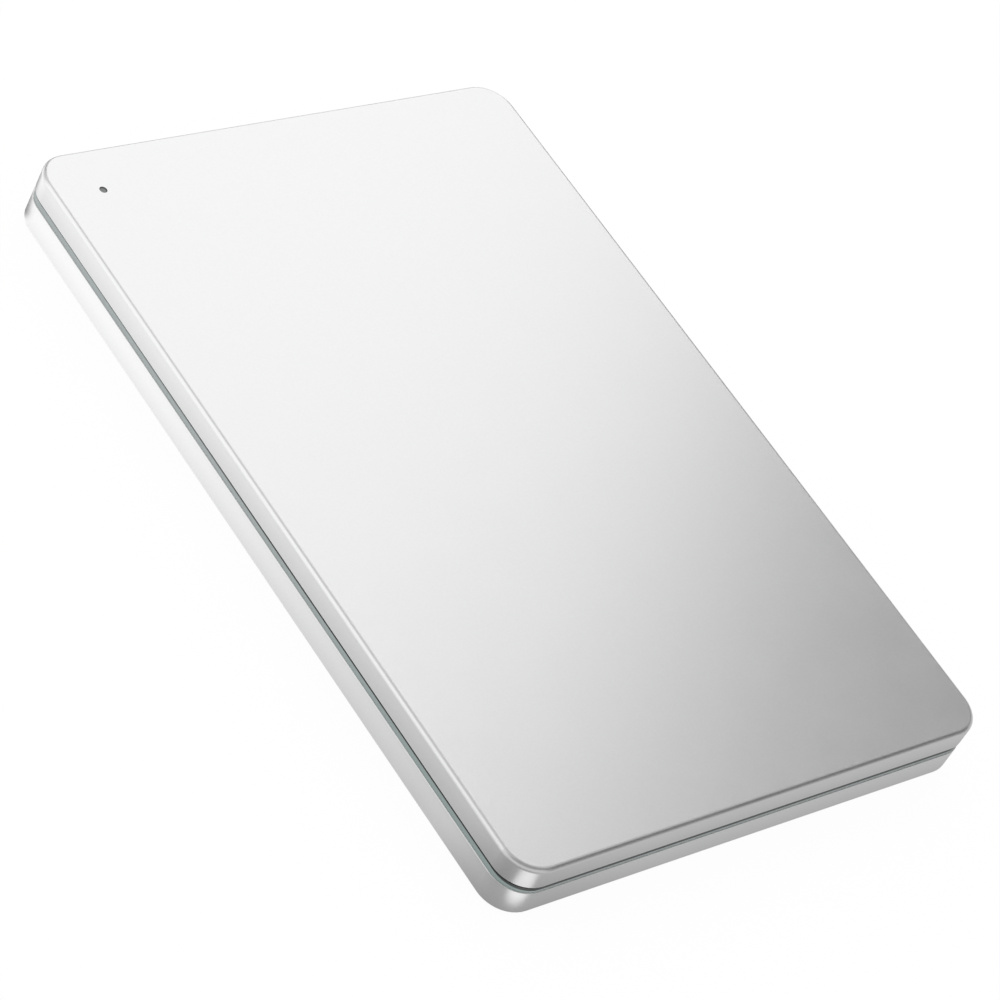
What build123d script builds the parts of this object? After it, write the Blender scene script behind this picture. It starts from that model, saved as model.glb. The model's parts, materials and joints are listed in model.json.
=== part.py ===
from build123d import *
from math import acos, atan2, cos, degrees, hypot, radians, sin, sqrt
import os

# Slim portable hard drive: two aluminium covers round a frame, a disc drive and its bridge board.
# X runs across the case, Y along it towards the socket end, Z up from the face it rests on.

# Covers
cover_skin = 0.6
cover_wall = 0.8
case_corner = 4.5
top_edge = 0.65
bottom_edge = 0.9
rim_round = 0.1
upper_wall_height = 3.32
led_inset = 6.9
pinhole_radius = 0.53

# Frame between the covers, whose rib shows as a band
band_height = 1.04
band_recess = 0.16
shadow_gap = 0.25
frame_wall = 1.575
frame_fit = 0.1
clip_length = 6.0
clip_height = 0.8
clip_bite = 0.25
clip_clearance = 0.1
clip_drop = 0.9
clip_pitch = 38.0
pillar_width = 5.6

# Soft parts round the drive
drive_gap = 0.6
pad_thickness = 0.2
pad_margin = 6.0
bumper_length = 8.0
bumper_height = 4.6
bumper_inset = 20.0
end_bumper_width = 3.4
end_bumper_height = 2.2

# Small screws with flat heads, and the fits they share
screw_radius = 0.6
screw_head_radius = 1.35
screw_head_height = 0.4
screw_recess_radius = 0.6
screw_recess_depth = 0.25
screw_fit = 0.05
screw_tip_gap = 0.15
screw_pillar_radius = 2.2
glue_line = 0.02

# Disc and spindle motor
disc_radius = 32.5
disc_bore_radius = 10.0
disc_thickness = 0.635
disc_clearance = 0.6
hub_fit = 0.05
hub_flange_land = 2.0
hub_flange_thickness = 0.7
hub_cap = 0.9
hub_skirt_wall = 1.1
hub_drop = 0.1
motor_plate = 0.5
well_clearance = 0.4
shaft_radius = 1.25
bearing_clearance = 0.03
bearing_wall = 1.3
bearing_end_gap = 0.1
boss_wall = 1.2
shoulder_land = 0.9
shoulder_height = 0.5
core_thickness = 0.7
core_ring = 1.4
stator_radius = 8.3
tooth_count = 9
tooth_width = 1.2
shoe_width = 2.6
shoe_depth = 0.5
winding_thickness = 0.7
winding_overhang = 0.35
winding_gap = 0.15
motor_gap = 0.25
air_gap = 0.2
rotor_magnet_wall = 0.75
clamp_radius = 11.4
clamp_thickness = 0.45
clamp_relief_radius = 8.0
clamp_relief_depth = 0.15
clamp_screw_radius = 0.7
clamp_screw_length = 1.9
clamp_head_radius = 2.2
clamp_head_height = 0.5
clamp_socket_radius = 1.0
clamp_socket_depth = 0.3

# Actuator, its pivot and heads
arm_gap = 0.45
arm_thickness = 0.5
head_room = 0.8325
pivot_hub_radius = 5.2
pivot_disc_gap = 1.77
pivot_inset = 21.1
pivot_post_radius = 1.5
pivot_foot_radius = 3.0
pivot_foot_height = 0.25
pivot_bearing_wall = 1.4
pivot_bearing_height = 0.9
pivot_sleeve_wall = 0.65
arm_reach = 24.0
arm_tip_radius = 2.6
arm_hole_radius = 1.5
head_reach = 34.0
head_length = 1.25
head_width = 1.0
head_height = 0.3
fly_gap = 0.05
park_gap = 0.9
inner_margin = 3.1
beam_thickness = 0.1
beam_plate_length = 7.0
beam_flat = 1.2
beam_tab_reach = 2.2
beam_tab_width = 0.7
coil_start = 8.0
coil_reach = 17.5
coil_near = 2.4
coil_far = 6.6
coil_thickness = 0.9
coil_winding = 2.0
coil_clearance = 0.6
tine_width = 1.4
tine_back = 2.0
neck_half = 3.2

# Voice coil motor, ramp and other pieces in the bay
magnet_gap = 0.4
magnet_thickness = 0.6
magnet_inset = 0.4
yoke_margin = 0.2
yoke_inner_gap = 2.2
yoke_lid_gap = 0.1
stop_gap = 0.3
stop_sleeve = 0.5
post_radius = 0.9
post_land = 0.8
ramp_clearance = 0.05
ramp_head_gap = 0.35
ramp_tab_gap = 0.4
ramp_finger_half = 1.6
ramp_foot_length = 3.8
ramp_foot_half = 2.4
filter_length = 7.0
filter_depth = 1.8
filter_height = 3.0
filter_angle = 36.0
flex_block_width = 12.0
flex_block_depth = 6.0
flex_block_height = 3.4
flex_block_gap = 4.5
flex_tape = 0.12
flex_tape_width = 2.4
flex_free_gap = 0.4
flex_free_angle = 115.0
flex_run = 7.6

# Casting and lid of the drive
side_wall = 1.825
end_wall = 1.9
rear_wall = 1.7
rear_lip = 1.2
casting_corner = 2.5
casting_floor = 0.55
bay_corner = 2.0
gasket_thickness = 0.15
gasket_inset = 0.35
gasket_width = 1.0
lid_thickness = 0.5
lid_inset = 0.3
lid_screw_inset = 3.4
lid_screw_length = 3.0
mid_screw_back = 8.0
side_hole_radius = 1.25
side_hole_depth = 1.3
side_hole_height = 3.0
side_hole_front = 9.6
side_hole_rear = 14.0

# Controller board under the casting
controller_inset = 0.1
controller_thickness = 0.8
controller_clearance = 0.3
controller_front_land = 3.0
controller_screw_inset = 4.0
chip_height = 0.7
chip_room = 0.15
insulator_thickness = 0.1
main_chip_size = 9.0
motor_chip_size = 6.5
memory_chip_length = 8.0
memory_chip_width = 6.0
chip_spacing = 16.0

# Plug of the drive and the socket that takes it
plug_depth = 7.8
plug_width = 41.4
plug_inset = 4.825
plug_height = 3.5
plug_half_height = 2.6
plug_gap = 0.2
plug_side_gap = 0.3
plug_recess = 0.3
plug_guide = 1.5
tongue_length = 4.8
tongue_thickness = 1.2
power_tongue = 20.6
signal_tongue = 10.4
tongue_spacing = 2.4
socket_fit = 0.15
socket_half_height = 2.3
socket_length = 8.5
socket_end_gap = 0.2
socket_board_slot = 1.2
tongue_fit = 0.1

# Bridge board and port
bridge_thickness = 0.8
bridge_screw_land = 4.4
bridge_gap = 0.4
socket_port_gap = 1.3
bridge_screw_inset = 2.3
bridge_chip_size = 4.6
bridge_chip_height = 0.85
bridge_chip_gap = 2.55
crystal_length = 3.2
crystal_width = 2.5
crystal_height = 0.7
crystal_corner = 0.4
crystal_gap = 1.6
capacitor_length = 1.0
capacitor_width = 0.5
capacitor_count = 6
capacitor_spacing = 3.0
led_length = 1.6
led_width = 0.8
led_height = 0.4
pipe_radius = 1.0
pipe_flange_radius = 1.5
pipe_flange_height = 0.4
pipe_pin_fit = 0.06
pipe_recess = 0.15
pipe_led_gap = 0.15
port_width = 12.25
port_height = 1.85
port_plain_width = 4.6
port_bridge_width = 0.75
port_bridge_half = 0.55
port_chamfer = 0.75
port_wall = 0.25
port_depth = 6.0
port_recess = 0.35
port_clearance = 0.2
port_opening_corner = 0.9
port_back = 2.0
port_floor_gap = 0.7
tab_thickness = 0.55
tab_set_back = 0.8
tab_wide = 3.8
tab_narrow = 2.9
contact_width = 0.25
contact_thickness = 0.08
contact_length = 2.6
contact_count = 5

# Levels, from the resting face up
drive_bottom = cover_skin + pad_thickness
controller_bottom = drive_bottom + controller_inset
controller_top = controller_bottom + controller_thickness
pocket_roof = controller_top + chip_height + chip_room
cavity_floor = pocket_roof + casting_floor
disc_bottom = cavity_floor + arm_gap + arm_thickness + head_room
disc_top = disc_bottom + disc_thickness
disc_plane = (disc_bottom + disc_top) / 2
lid_bottom = 2 * disc_plane - cavity_floor
rim_top = lid_bottom - gasket_thickness
drive_top = lid_bottom + lid_thickness
top_underside = drive_top + pad_thickness
case_height = top_underside + cover_skin
upper_rim = case_height - upper_wall_height
lower_rim = upper_rim - band_height
lower_arm_bottom = cavity_floor + arm_gap
upper_arm_top = lid_bottom - arm_gap
upper_arm_bottom = upper_arm_top - arm_thickness
head_bottom = disc_top + fly_gap
head_top = head_bottom + head_height
magnet_face = coil_thickness / 2 + magnet_gap
plug_level = drive_bottom + plug_height
port_bottom = cover_skin + port_floor_gap
port_level = port_bottom + port_wall + port_height / 2
bridge_bottom = port_bottom + port_height + 2 * port_wall
bridge_top = bridge_bottom + bridge_thickness

# Lengths across and along the case
cavity_radius = disc_radius + disc_clearance
casting_half = cavity_radius + side_wall
drive_width = 2 * casting_half
pivot_spacing = disc_radius + pivot_hub_radius + pivot_disc_gap
pivot_offset = cavity_radius - pivot_inset
pivot_ahead = sqrt(pivot_spacing**2 - pivot_offset**2)
bay_behind = coil_reach + coil_clearance
drive_length = end_wall + cavity_radius + pivot_ahead + bay_behind + rear_wall + plug_depth
shell_wall = frame_wall + frame_fit + cover_wall
socket_behind = socket_length + socket_end_gap - plug_recess - tongue_length
bay_length = socket_behind + socket_port_gap + port_depth + port_recess - shell_wall
case_width = drive_width + 2 * (drive_gap + shell_wall)
case_length = drive_length + drive_gap + bay_length + 2 * shell_wall
case_rear = case_length / 2
inner_half = case_width / 2 - cover_wall
frame_half = inner_half - frame_fit
frame_inner_half = frame_half - frame_wall
frame_inner_corner = case_corner - shell_wall
frame_rear = case_rear - cover_wall - frame_fit
frame_inner_rear = frame_rear - frame_wall
drive_front = drive_gap + shell_wall - case_rear
drive_rear = drive_front + drive_length
drive_middle = (drive_front + drive_rear) / 2
spindle_y = drive_front + end_wall + cavity_radius
pivot_y = spindle_y + pivot_ahead
bay_end = pivot_y + bay_behind
notch_front = bay_end + rear_wall
plug_x = plug_inset + plug_width / 2 - casting_half
socket_width = plug_width - 2 * (plug_guide + socket_fit)
bridge_chip_left = plug_x + socket_width / 2 + bridge_chip_gap
bridge_pillar_x = bridge_chip_left + bridge_chip_size + bridge_screw_land
bridge_right = bridge_pillar_x + bridge_screw_inset
led_x = led_inset - case_width / 2
led_y = case_rear - led_inset

# Angles of the actuator, parked with its heads just outside the disc
park_radius = disc_radius + park_gap
inner_radius = clamp_radius + inner_margin
reach_sum = pivot_spacing**2 + head_reach**2
reach_product = 2 * pivot_spacing * head_reach
park_angle = acos((reach_sum - park_radius**2) / reach_product)
inner_angle = acos((reach_sum - inner_radius**2) / reach_product)
swing = degrees(park_angle - inner_angle)
parked = atan2(-pivot_ahead, -pivot_offset) - park_angle
coil_slope = atan2(coil_far - coil_near, coil_reach - coil_start)
stop_radius = post_radius + glue_line + stop_sleeve
stop_offset = glue_line + tine_width + stop_gap + stop_radius
stop_x = stop_offset * sin(coil_slope) - (coil_start + coil_reach) / 2
stop_y = stop_offset * cos(coil_slope) + (coil_near + coil_far) / 2
stop_spacing = hypot(stop_x, stop_y)
stop_first = degrees(atan2(stop_y, stop_x))
stop_last = 360 - stop_first + swing
stop_spread = degrees(atan2(stop_radius + post_land, stop_spacing))

print(f"case {case_width:.3f} x {case_length:.3f} x {case_height:.3f} mm")
print(f"drive {drive_width:.3f} x {drive_length:.3f} x {drive_top - drive_bottom:.3f} mm")
print(f"spindle at 0, {spindle_y:.3f}; pivot at {pivot_offset:.3f}, {pivot_y:.3f}")
print(f"swing {swing:.2f} degrees")


def arm_plane(height):
    """Level plane at the pivot, with X along the parked arm towards its heads."""
    return Plane(origin=(pivot_offset, pivot_y, height), x_dir=(cos(parked), sin(parked), 0))


def port_plane(depth):
    """Upright plane across the port, depth in from the case's end, facing out."""
    origin = (0, case_rear - depth, port_level)
    return Plane(origin=origin, x_dir=(-1, 0, 0), z_dir=(0, 1, 0))


def case_outline(inset):
    """Plan outline of the case, inset all round."""
    RectangleRounded(case_width - 2 * inset, case_length - 2 * inset, case_corner - inset)


def cavity_outline():
    """Plan outline of the drive's inside: the disc's circle and the actuator's bay."""
    with Locations((0, spindle_y)):
        Circle(cavity_radius)
    front_left = (-cavity_radius, spindle_y)
    front_right = (cavity_radius, spindle_y)
    with BuildLine() as bay:
        FilletPolyline(
            front_left,
            (-cavity_radius, bay_end),
            (cavity_radius, bay_end),
            front_right,
            radius=bay_corner,
        )
        Line(front_right, front_left)
    make_face(bay.edges())


def controller_outline(grow):
    """Plan outline of the controller board, grown all round."""
    front = controller_front - grow
    rear = controller_rear + grow
    with Locations((0, (front + rear) / 2)):
        Rectangle(2 * (controller_half + grow), rear - front)


def sector(inner, outer, first, last):
    """Flat piece of a ring about the pivot, between two angles in degrees."""
    with BuildLine() as outline:
        near = CenterArc((0, 0), inner, first, last - first)
        far = CenterArc((0, 0), outer, first, last - first)
        Line(near @ 0, far @ 0)
        Line(near @ 1, far @ 1)
    make_face(outline.edges())


def coil_outline(grow):
    """Plan outline of the voice coil in the arm's plane, grown all round and kept within its reach."""
    with BuildLine() as outline:
        Polyline(
            (-coil_start, coil_near),
            (-coil_reach, coil_far),
            (-coil_reach, -coil_far),
            (-coil_start, -coil_near),
            close=True,
        )
    make_face(outline.edges())
    offset(amount=grow, kind=Kind.INTERSECTION)
    Circle(coil_reach, mode=Mode.INTERSECT)


def port_outline(mode=Mode.ADD):
    """Mouth of the port: a chamfered half beside a plain half, joined by a narrow bridge."""
    half = port_height / 2
    shoulder = port_chamfer - half
    left = -port_width / 2
    plain_end = left + port_plain_width
    main_start = plain_end + port_bridge_width
    right = port_width / 2
    with BuildLine() as outline:
        Polyline(
            (left, half),
            (plain_end, half),
            (plain_end, port_bridge_half),
            (main_start, port_bridge_half),
            (main_start, half),
            (right, half),
            (right, shoulder),
            (right - port_chamfer, -half),
            (main_start + port_chamfer, -half),
            (main_start, shoulder),
            (plain_end, shoulder),
            (plain_end, -half),
            (left, -half),
            close=True,
        )
    make_face(outline.edges(), mode=mode)


def port_opening():
    """Clearance round the port's shell, for the walls that it passes through."""
    width = port_width + 2 * (port_wall + port_clearance)
    height = port_height + 2 * (port_wall + port_clearance)
    RectangleRounded(width, height, port_opening_corner)


def flat_screw(length):
    """Flat-headed screw hanging from its top face."""
    hang = (Align.CENTER, Align.CENTER, Align.MAX)
    Cone(screw_radius, screw_head_radius, screw_head_height, align=hang)
    Cylinder(screw_radius, length, align=hang)


def flat_screw_seat(depth):
    """Hole and countersink for a flat-headed screw, down from the face it sits in."""
    Hole(screw_radius + screw_fit, depth=depth)
    Cone(
        screw_radius + screw_fit,
        screw_head_radius + screw_fit,
        screw_head_height,
        align=(Align.CENTER, Align.CENTER, Align.MAX),
        mode=Mode.SUBTRACT,
    )


def clip_places(level):
    """Centres of the case clips at a level, each with X pointing out through the wall."""
    places = []
    for along in (-clip_pitch, 0, clip_pitch):
        places.append(Location((inner_half, along, level), (0, 0, 0)))
        places.append(Location((-inner_half, along, level), (0, 0, 180)))
    for across in (-clip_pitch / 2, clip_pitch / 2):
        places.append(Location((across, case_rear - cover_wall, level), (0, 0, 90)))
        places.append(Location((across, cover_wall - case_rear, level), (0, 0, -90)))
    return places


upper_clip_level = upper_rim + clip_drop + clip_height / 2
lower_clip_level = lower_rim - clip_drop - clip_height / 2
groove_width = 2 * (clip_bite + clip_clearance)
groove_length = clip_length + 2 * clip_clearance
groove_height = clip_height + 2 * clip_clearance

# Top cover: a shallow aluminium tray, mouth down, with the lamp's pinhole
with BuildPart() as top_cover:
    with BuildSketch(Plane.XY.offset(upper_rim)):
        case_outline(0)
    extrude(amount=upper_wall_height)
    fillet(top_cover.faces().sort_by(Axis.Z)[-1].edges(), radius=top_edge)
    fillet(top_cover.faces().sort_by(Axis.Z)[0].edges(), radius=rim_round)
    with BuildSketch(Plane.XY.offset(upper_rim)):
        case_outline(cover_wall)
    extrude(amount=top_underside - upper_rim, mode=Mode.SUBTRACT)
    with Locations(*clip_places(upper_clip_level)):
        Box(groove_width, groove_length, groove_height, mode=Mode.SUBTRACT)
    with Locations((led_x, led_y, case_height)):
        Hole(pinhole_radius, depth=cover_skin)
top_cover.part.label = "top_cover"

# Bottom cover: a deeper tray, mouth up, with the port's opening in its end wall
with BuildPart() as bottom_cover:
    with BuildSketch():
        case_outline(0)
    extrude(amount=lower_rim)
    fillet(bottom_cover.faces().sort_by(Axis.Z)[0].edges(), radius=bottom_edge)
    fillet(bottom_cover.faces().sort_by(Axis.Z)[-1].edges(), radius=rim_round)
    with BuildSketch(Plane.XY.offset(cover_skin)):
        case_outline(cover_wall)
    extrude(amount=lower_rim - cover_skin, mode=Mode.SUBTRACT)
    with Locations(*clip_places(lower_clip_level)):
        Box(groove_width, groove_length, groove_height, mode=Mode.SUBTRACT)
    with BuildSketch(port_plane(0)):
        port_opening()
    extrude(amount=-cover_wall, mode=Mode.SUBTRACT)
bottom_cover.part.label = "bottom_cover"

# Frame: a plastic ring inside both covers, with a rib between their rims, clips and board pillars
pillar_depth = frame_inner_rear - drive_rear - drive_gap
pillar_x = frame_inner_half - pillar_width / 2
bridge_screw_y = frame_inner_rear - bridge_screw_inset
with BuildPart() as mid_frame:
    with BuildSketch(Plane.XY.offset(cover_skin)):
        case_outline(cover_wall + frame_fit)
    extrude(amount=top_underside - frame_fit - cover_skin)
    with BuildSketch(Plane.XY.offset(lower_rim)):
        case_outline(band_recess)
    extrude(amount=band_height - shadow_gap)
    with BuildSketch(Plane.XY.offset(cover_skin)):
        case_outline(shell_wall)
    extrude(amount=top_underside - cover_skin, mode=Mode.SUBTRACT)
    with Locations(*clip_places(upper_clip_level), *clip_places(lower_clip_level)):
        with Locations((-frame_fit, 0)):
            Box(2 * (frame_fit + clip_bite), clip_length, clip_height)
    with BuildSketch(Plane.XY.offset(cover_skin)):
        with Locations((0, frame_inner_rear - pillar_depth / 2)):
            with Locations((-pillar_x, 0), (pillar_x, 0), (bridge_pillar_x, 0)):
                Rectangle(pillar_width, pillar_depth)
    extrude(amount=bridge_bottom - cover_skin)
    with BuildSketch(port_plane(cover_wall + frame_fit)):
        port_opening()
    extrude(amount=-frame_wall, mode=Mode.SUBTRACT)
    for screw_x in (-pillar_x, bridge_pillar_x):
        with Locations((screw_x, bridge_screw_y, bridge_bottom)):
            Hole(screw_radius + screw_fit, depth=bridge_bottom - cover_skin - screw_tip_gap)
mid_frame.part.label = "mid_frame"

# Adhesive pads that hold the covers to the drive
controller_half = cavity_radius - controller_clearance
skirt_radius = stator_radius + air_gap + rotor_magnet_wall + glue_line + hub_skirt_wall
well_radius = skirt_radius + well_clearance
controller_front = spindle_y + well_radius + controller_front_land + controller_clearance
controller_rear = drive_rear - rear_lip - controller_clearance
with BuildPart() as top_pad:
    with BuildSketch(Plane.XY.offset(drive_top)):
        with Locations((0, drive_middle)):
            Rectangle(drive_width - 2 * pad_margin, drive_length - 2 * pad_margin)
    extrude(amount=pad_thickness)
top_pad.part.label = "top_pad"

bottom_pad_rear = controller_front - controller_clearance - pad_margin / 2
bottom_pad_front = drive_front + pad_margin / 2
with BuildPart() as bottom_pad:
    with BuildSketch(Plane.XY.offset(cover_skin)):
        with Locations((0, (bottom_pad_front + bottom_pad_rear) / 2)):
            Rectangle(drive_width - 2 * pad_margin, bottom_pad_rear - bottom_pad_front)
    extrude(amount=pad_thickness)
bottom_pad.part.label = "bottom_pad"

# Rubber bumpers between the drive and the frame
bumper_x = casting_half + drive_gap / 2
drive_level = (drive_bottom + rim_top) / 2
with BuildPart() as side_bumpers:
    for bumper_y in (drive_front + bumper_inset, drive_rear - bumper_inset):
        with Locations((bumper_x, bumper_y, drive_level), (-bumper_x, bumper_y, drive_level)):
            Box(drive_gap, bumper_length, bumper_height)
side_bumpers.part.label = "side_bumpers"

end_bumper_x = frame_inner_half - frame_inner_corner - end_bumper_width / 2
end_bumper_level = (drive_bottom + bridge_bottom) / 2
with BuildPart() as end_bumpers:
    for bumper_y in (drive_front - drive_gap / 2, drive_rear + drive_gap / 2):
        for bumper_across in (-end_bumper_x, end_bumper_x):
            with Locations((bumper_across, bumper_y, end_bumper_level)):
                Box(end_bumper_width, drive_gap, end_bumper_height)
end_bumpers.part.label = "end_bumpers"

# Casting: floor and walls of the disc drive
boss_radius = shaft_radius + bearing_clearance + bearing_wall + glue_line + boss_wall
bearing_radius = boss_radius - boss_wall - glue_line
shoulder_radius = boss_radius + shoulder_land
well_floor = drive_bottom + motor_plate
core_bottom = well_floor + shoulder_height
web_bottom = core_bottom + core_thickness + winding_overhang + motor_gap
boss_top = web_bottom - motor_gap
hub_top = disc_top - hub_drop
lid_screw_x = casting_half - lid_screw_inset
lid_screw_front = drive_front + lid_screw_inset
lid_screw_middle = pivot_y - mid_screw_back
lid_screw_rear = bay_end - lid_screw_inset + side_wall
lid_screw_places = []
for screw_y in (lid_screw_front, lid_screw_middle, lid_screw_rear):
    lid_screw_places.append((-lid_screw_x, screw_y))
    lid_screw_places.append((lid_screw_x, screw_y))
controller_screw_x = controller_half - controller_screw_inset
controller_screw_places = []
for screw_y in (controller_front + controller_screw_inset, notch_front - controller_screw_inset):
    controller_screw_places.append((-controller_screw_x, screw_y))
    controller_screw_places.append((controller_screw_x, screw_y))
ramp_foot_x = head_reach + beam_tab_reach + ramp_tab_gap
ramp_screw_x = pivot_offset + (ramp_foot_x + ramp_foot_length / 2) * cos(parked)
ramp_screw_y = pivot_y + (ramp_foot_x + ramp_foot_length / 2) * sin(parked)
controller_screw_depth = cavity_floor - screw_tip_gap - controller_top
with BuildPart() as base_casting:
    with BuildSketch(Plane.XY.offset(drive_bottom)):
        with Locations((0, drive_middle)):
            RectangleRounded(drive_width, drive_length, casting_corner)
    extrude(amount=rim_top - drive_bottom)
    with BuildSketch(Plane.XY.offset(cavity_floor)):
        cavity_outline()
    extrude(amount=rim_top - cavity_floor, mode=Mode.SUBTRACT)
    with BuildSketch(Plane.XY.offset(cavity_floor)):
        with Locations(*lid_screw_places):
            Circle(screw_pillar_radius)
    extrude(amount=rim_top - cavity_floor)
    with BuildSketch(Plane.XY.offset(well_floor)):
        with Locations((0, spindle_y)):
            Circle(well_radius)
    extrude(amount=cavity_floor - well_floor, mode=Mode.SUBTRACT)
    with BuildSketch(Plane.XY.offset(well_floor)):
        with Locations((0, spindle_y)):
            Circle(shoulder_radius)
    extrude(amount=shoulder_height)
    with BuildSketch(Plane.XY.offset(well_floor)):
        with Locations((0, spindle_y)):
            Circle(boss_radius)
    extrude(amount=boss_top - well_floor)
    with BuildSketch(Plane.XY.offset(well_floor)):
        with Locations((0, spindle_y)):
            Circle(bearing_radius + glue_line)
    extrude(amount=boss_top - well_floor, mode=Mode.SUBTRACT)
    with BuildSketch(Plane.XY.offset(drive_bottom)):
        controller_outline(controller_clearance)
    extrude(amount=pocket_roof - drive_bottom, mode=Mode.SUBTRACT)
    with BuildSketch(Plane.XY.offset(controller_top)):
        with Locations(*controller_screw_places):
            Circle(screw_pillar_radius)
    extrude(amount=pocket_roof - controller_top)
    with BuildSketch(Plane.XY.offset(drive_bottom)):
        with Locations((plug_x, (notch_front + drive_rear) / 2)):
            Rectangle(plug_width + 2 * plug_side_gap, plug_depth)
    extrude(amount=rim_top - drive_bottom, mode=Mode.SUBTRACT)
    with Locations(*[(x, y, rim_top) for x, y in lid_screw_places]):
        Hole(screw_radius + screw_fit, depth=lid_screw_length)
    for screw_x, screw_y in controller_screw_places:
        with Locations(Location((screw_x, screw_y, controller_top), (180, 0, 0))):
            Hole(screw_radius + screw_fit, depth=controller_screw_depth)
    with Locations((ramp_screw_x, ramp_screw_y, cavity_floor)):
        Hole(screw_radius + screw_fit, depth=casting_floor - screw_tip_gap)
    for hole_y in (drive_front + side_hole_front, drive_rear - side_hole_rear):
        with Locations(Location((casting_half, hole_y, drive_bottom + side_hole_height), (0, 90, 0))):
            Hole(side_hole_radius, depth=side_hole_depth)
        with Locations(Location((-casting_half, hole_y, drive_bottom + side_hole_height), (0, -90, 0))):
            Hole(side_hole_radius, depth=side_hole_depth)
base_casting.part.label = "base_casting"

# Gasket along the casting's rim
with BuildPart() as lid_gasket:
    with BuildSketch(Plane.XY.offset(rim_top)):
        cavity_outline()
        offset(amount=gasket_inset + gasket_width)
    extrude(amount=gasket_thickness)
    with BuildSketch(Plane.XY.offset(rim_top)):
        cavity_outline()
        offset(amount=gasket_inset)
    extrude(amount=gasket_thickness, mode=Mode.SUBTRACT)
lid_gasket.part.label = "lid_gasket"

# Lid of the drive, countersunk for its screws and for the pivot's screw
lid_screw_tops = [(x, y, drive_top) for x, y in lid_screw_places]
pivot_top = (pivot_offset, pivot_y, drive_top)
with BuildPart() as drive_lid:
    with BuildSketch(Plane.XY.offset(lid_bottom)):
        with Locations((0, drive_middle)):
            RectangleRounded(
                drive_width - 2 * lid_inset,
                drive_length - 2 * lid_inset,
                casting_corner - lid_inset,
            )
    extrude(amount=lid_thickness)
    with Locations(*lid_screw_tops, pivot_top):
        flat_screw_seat(lid_thickness)
drive_lid.part.label = "drive_lid"

with BuildPart() as lid_screws:
    with Locations(*lid_screw_tops):
        flat_screw(lid_thickness + lid_screw_length - screw_tip_gap)
    for place in lid_screw_tops:
        with BuildSketch(Plane(origin=place)):
            RegularPolygon(screw_recess_radius, 6)
        extrude(amount=-screw_recess_depth, mode=Mode.SUBTRACT)
lid_screws.part.label = "lid_screws"

# Spindle motor: bearing, wound stator, and the shaft, hub and magnet that turn
bearing_top = hub_top - hub_cap - bearing_end_gap
with BuildPart() as spindle_bearing:
    with BuildSketch(Plane.XY.offset(well_floor)):
        with Locations((0, spindle_y)):
            Circle(bearing_radius)
            Circle(shaft_radius + bearing_clearance, mode=Mode.SUBTRACT)
    extrude(amount=bearing_top - well_floor)
spindle_bearing.part.label = "spindle_bearing"

core_inner = boss_radius + glue_line
core_outer = core_inner + core_ring
tooth_length = stator_radius - core_inner
with BuildPart() as stator_core:
    with BuildSketch(Plane.XY.offset(core_bottom)):
        with Locations((0, spindle_y)):
            Circle(core_outer)
            with PolarLocations(core_inner + tooth_length / 2, tooth_count):
                Rectangle(tooth_length, tooth_width)
            with PolarLocations(stator_radius - shoe_depth / 2, tooth_count):
                Rectangle(shoe_depth, shoe_width)
            Circle(core_inner, mode=Mode.SUBTRACT)
    extrude(amount=core_thickness)
    with BuildSketch(Plane.XY.offset(core_bottom)):
        with Locations((0, spindle_y)):
            Circle(stator_radius)
    extrude(amount=core_thickness, mode=Mode.INTERSECT)
stator_core.part.label = "stator_core"

winding_start = core_outer + winding_gap
winding_end = stator_radius - shoe_depth - winding_gap
winding_middle = (winding_start + winding_end) / 2
winding_length = winding_end - winding_start
core_level = core_bottom + core_thickness / 2
with BuildPart() as stator_coils:
    with Locations((0, spindle_y, core_level)):
        with PolarLocations(winding_middle, tooth_count):
            Box(
                winding_length,
                tooth_width + 2 * winding_thickness,
                core_thickness + 2 * winding_overhang,
            )
    with Locations((0, spindle_y, core_level)):
        with PolarLocations(winding_middle, tooth_count):
            Box(
                winding_length,
                tooth_width + 2 * glue_line,
                core_thickness + 2 * glue_line,
                mode=Mode.SUBTRACT,
            )
stator_coils.part.label = "stator_coils"

magnet_ring_inner = stator_radius + air_gap
magnet_ring_outer = magnet_ring_inner + rotor_magnet_wall
skirt_bottom = well_floor + well_clearance
with BuildPart() as rotor_magnet:
    with BuildSketch(Plane.XY.offset(skirt_bottom)):
        with Locations((0, spindle_y)):
            Circle(magnet_ring_outer)
            Circle(magnet_ring_inner, mode=Mode.SUBTRACT)
    extrude(amount=web_bottom - skirt_bottom)
rotor_magnet.part.label = "rotor_magnet"

hub_bore = shaft_radius + glue_line
hub_recess = bearing_radius + well_clearance
hub_cup = magnet_ring_outer + glue_line
flange_radius = disc_bore_radius + hub_flange_land
flange_bottom = disc_bottom - hub_flange_thickness
with BuildPart() as spindle_hub:
    with BuildSketch(Plane.XZ.offset(-spindle_y)):
        with BuildLine():
            Polyline(
                (hub_bore, hub_top - hub_cap),
                (hub_recess, hub_top - hub_cap),
                (hub_recess, web_bottom),
                (hub_cup, web_bottom),
                (hub_cup, skirt_bottom),
                (skirt_radius, skirt_bottom),
                (skirt_radius, flange_bottom),
                (flange_radius, flange_bottom),
                (flange_radius, disc_bottom),
                (disc_bore_radius - hub_fit, disc_bottom),
                (disc_bore_radius - hub_fit, hub_top),
                (hub_bore, hub_top),
                close=True,
            )
        make_face()
    revolve(axis=Axis((0, spindle_y, 0), (0, 0, 1)))
spindle_hub.part.label = "spindle_hub"

with BuildPart() as spindle_shaft:
    with BuildSketch(Plane.XY.offset(well_floor + bearing_end_gap)):
        with Locations((0, spindle_y)):
            Circle(shaft_radius)
    extrude(amount=hub_top - well_floor - bearing_end_gap)
    with Locations((0, spindle_y, hub_top)):
        Hole(clamp_screw_radius + screw_fit, depth=clamp_screw_length)
spindle_shaft.part.label = "spindle_shaft"

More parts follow.
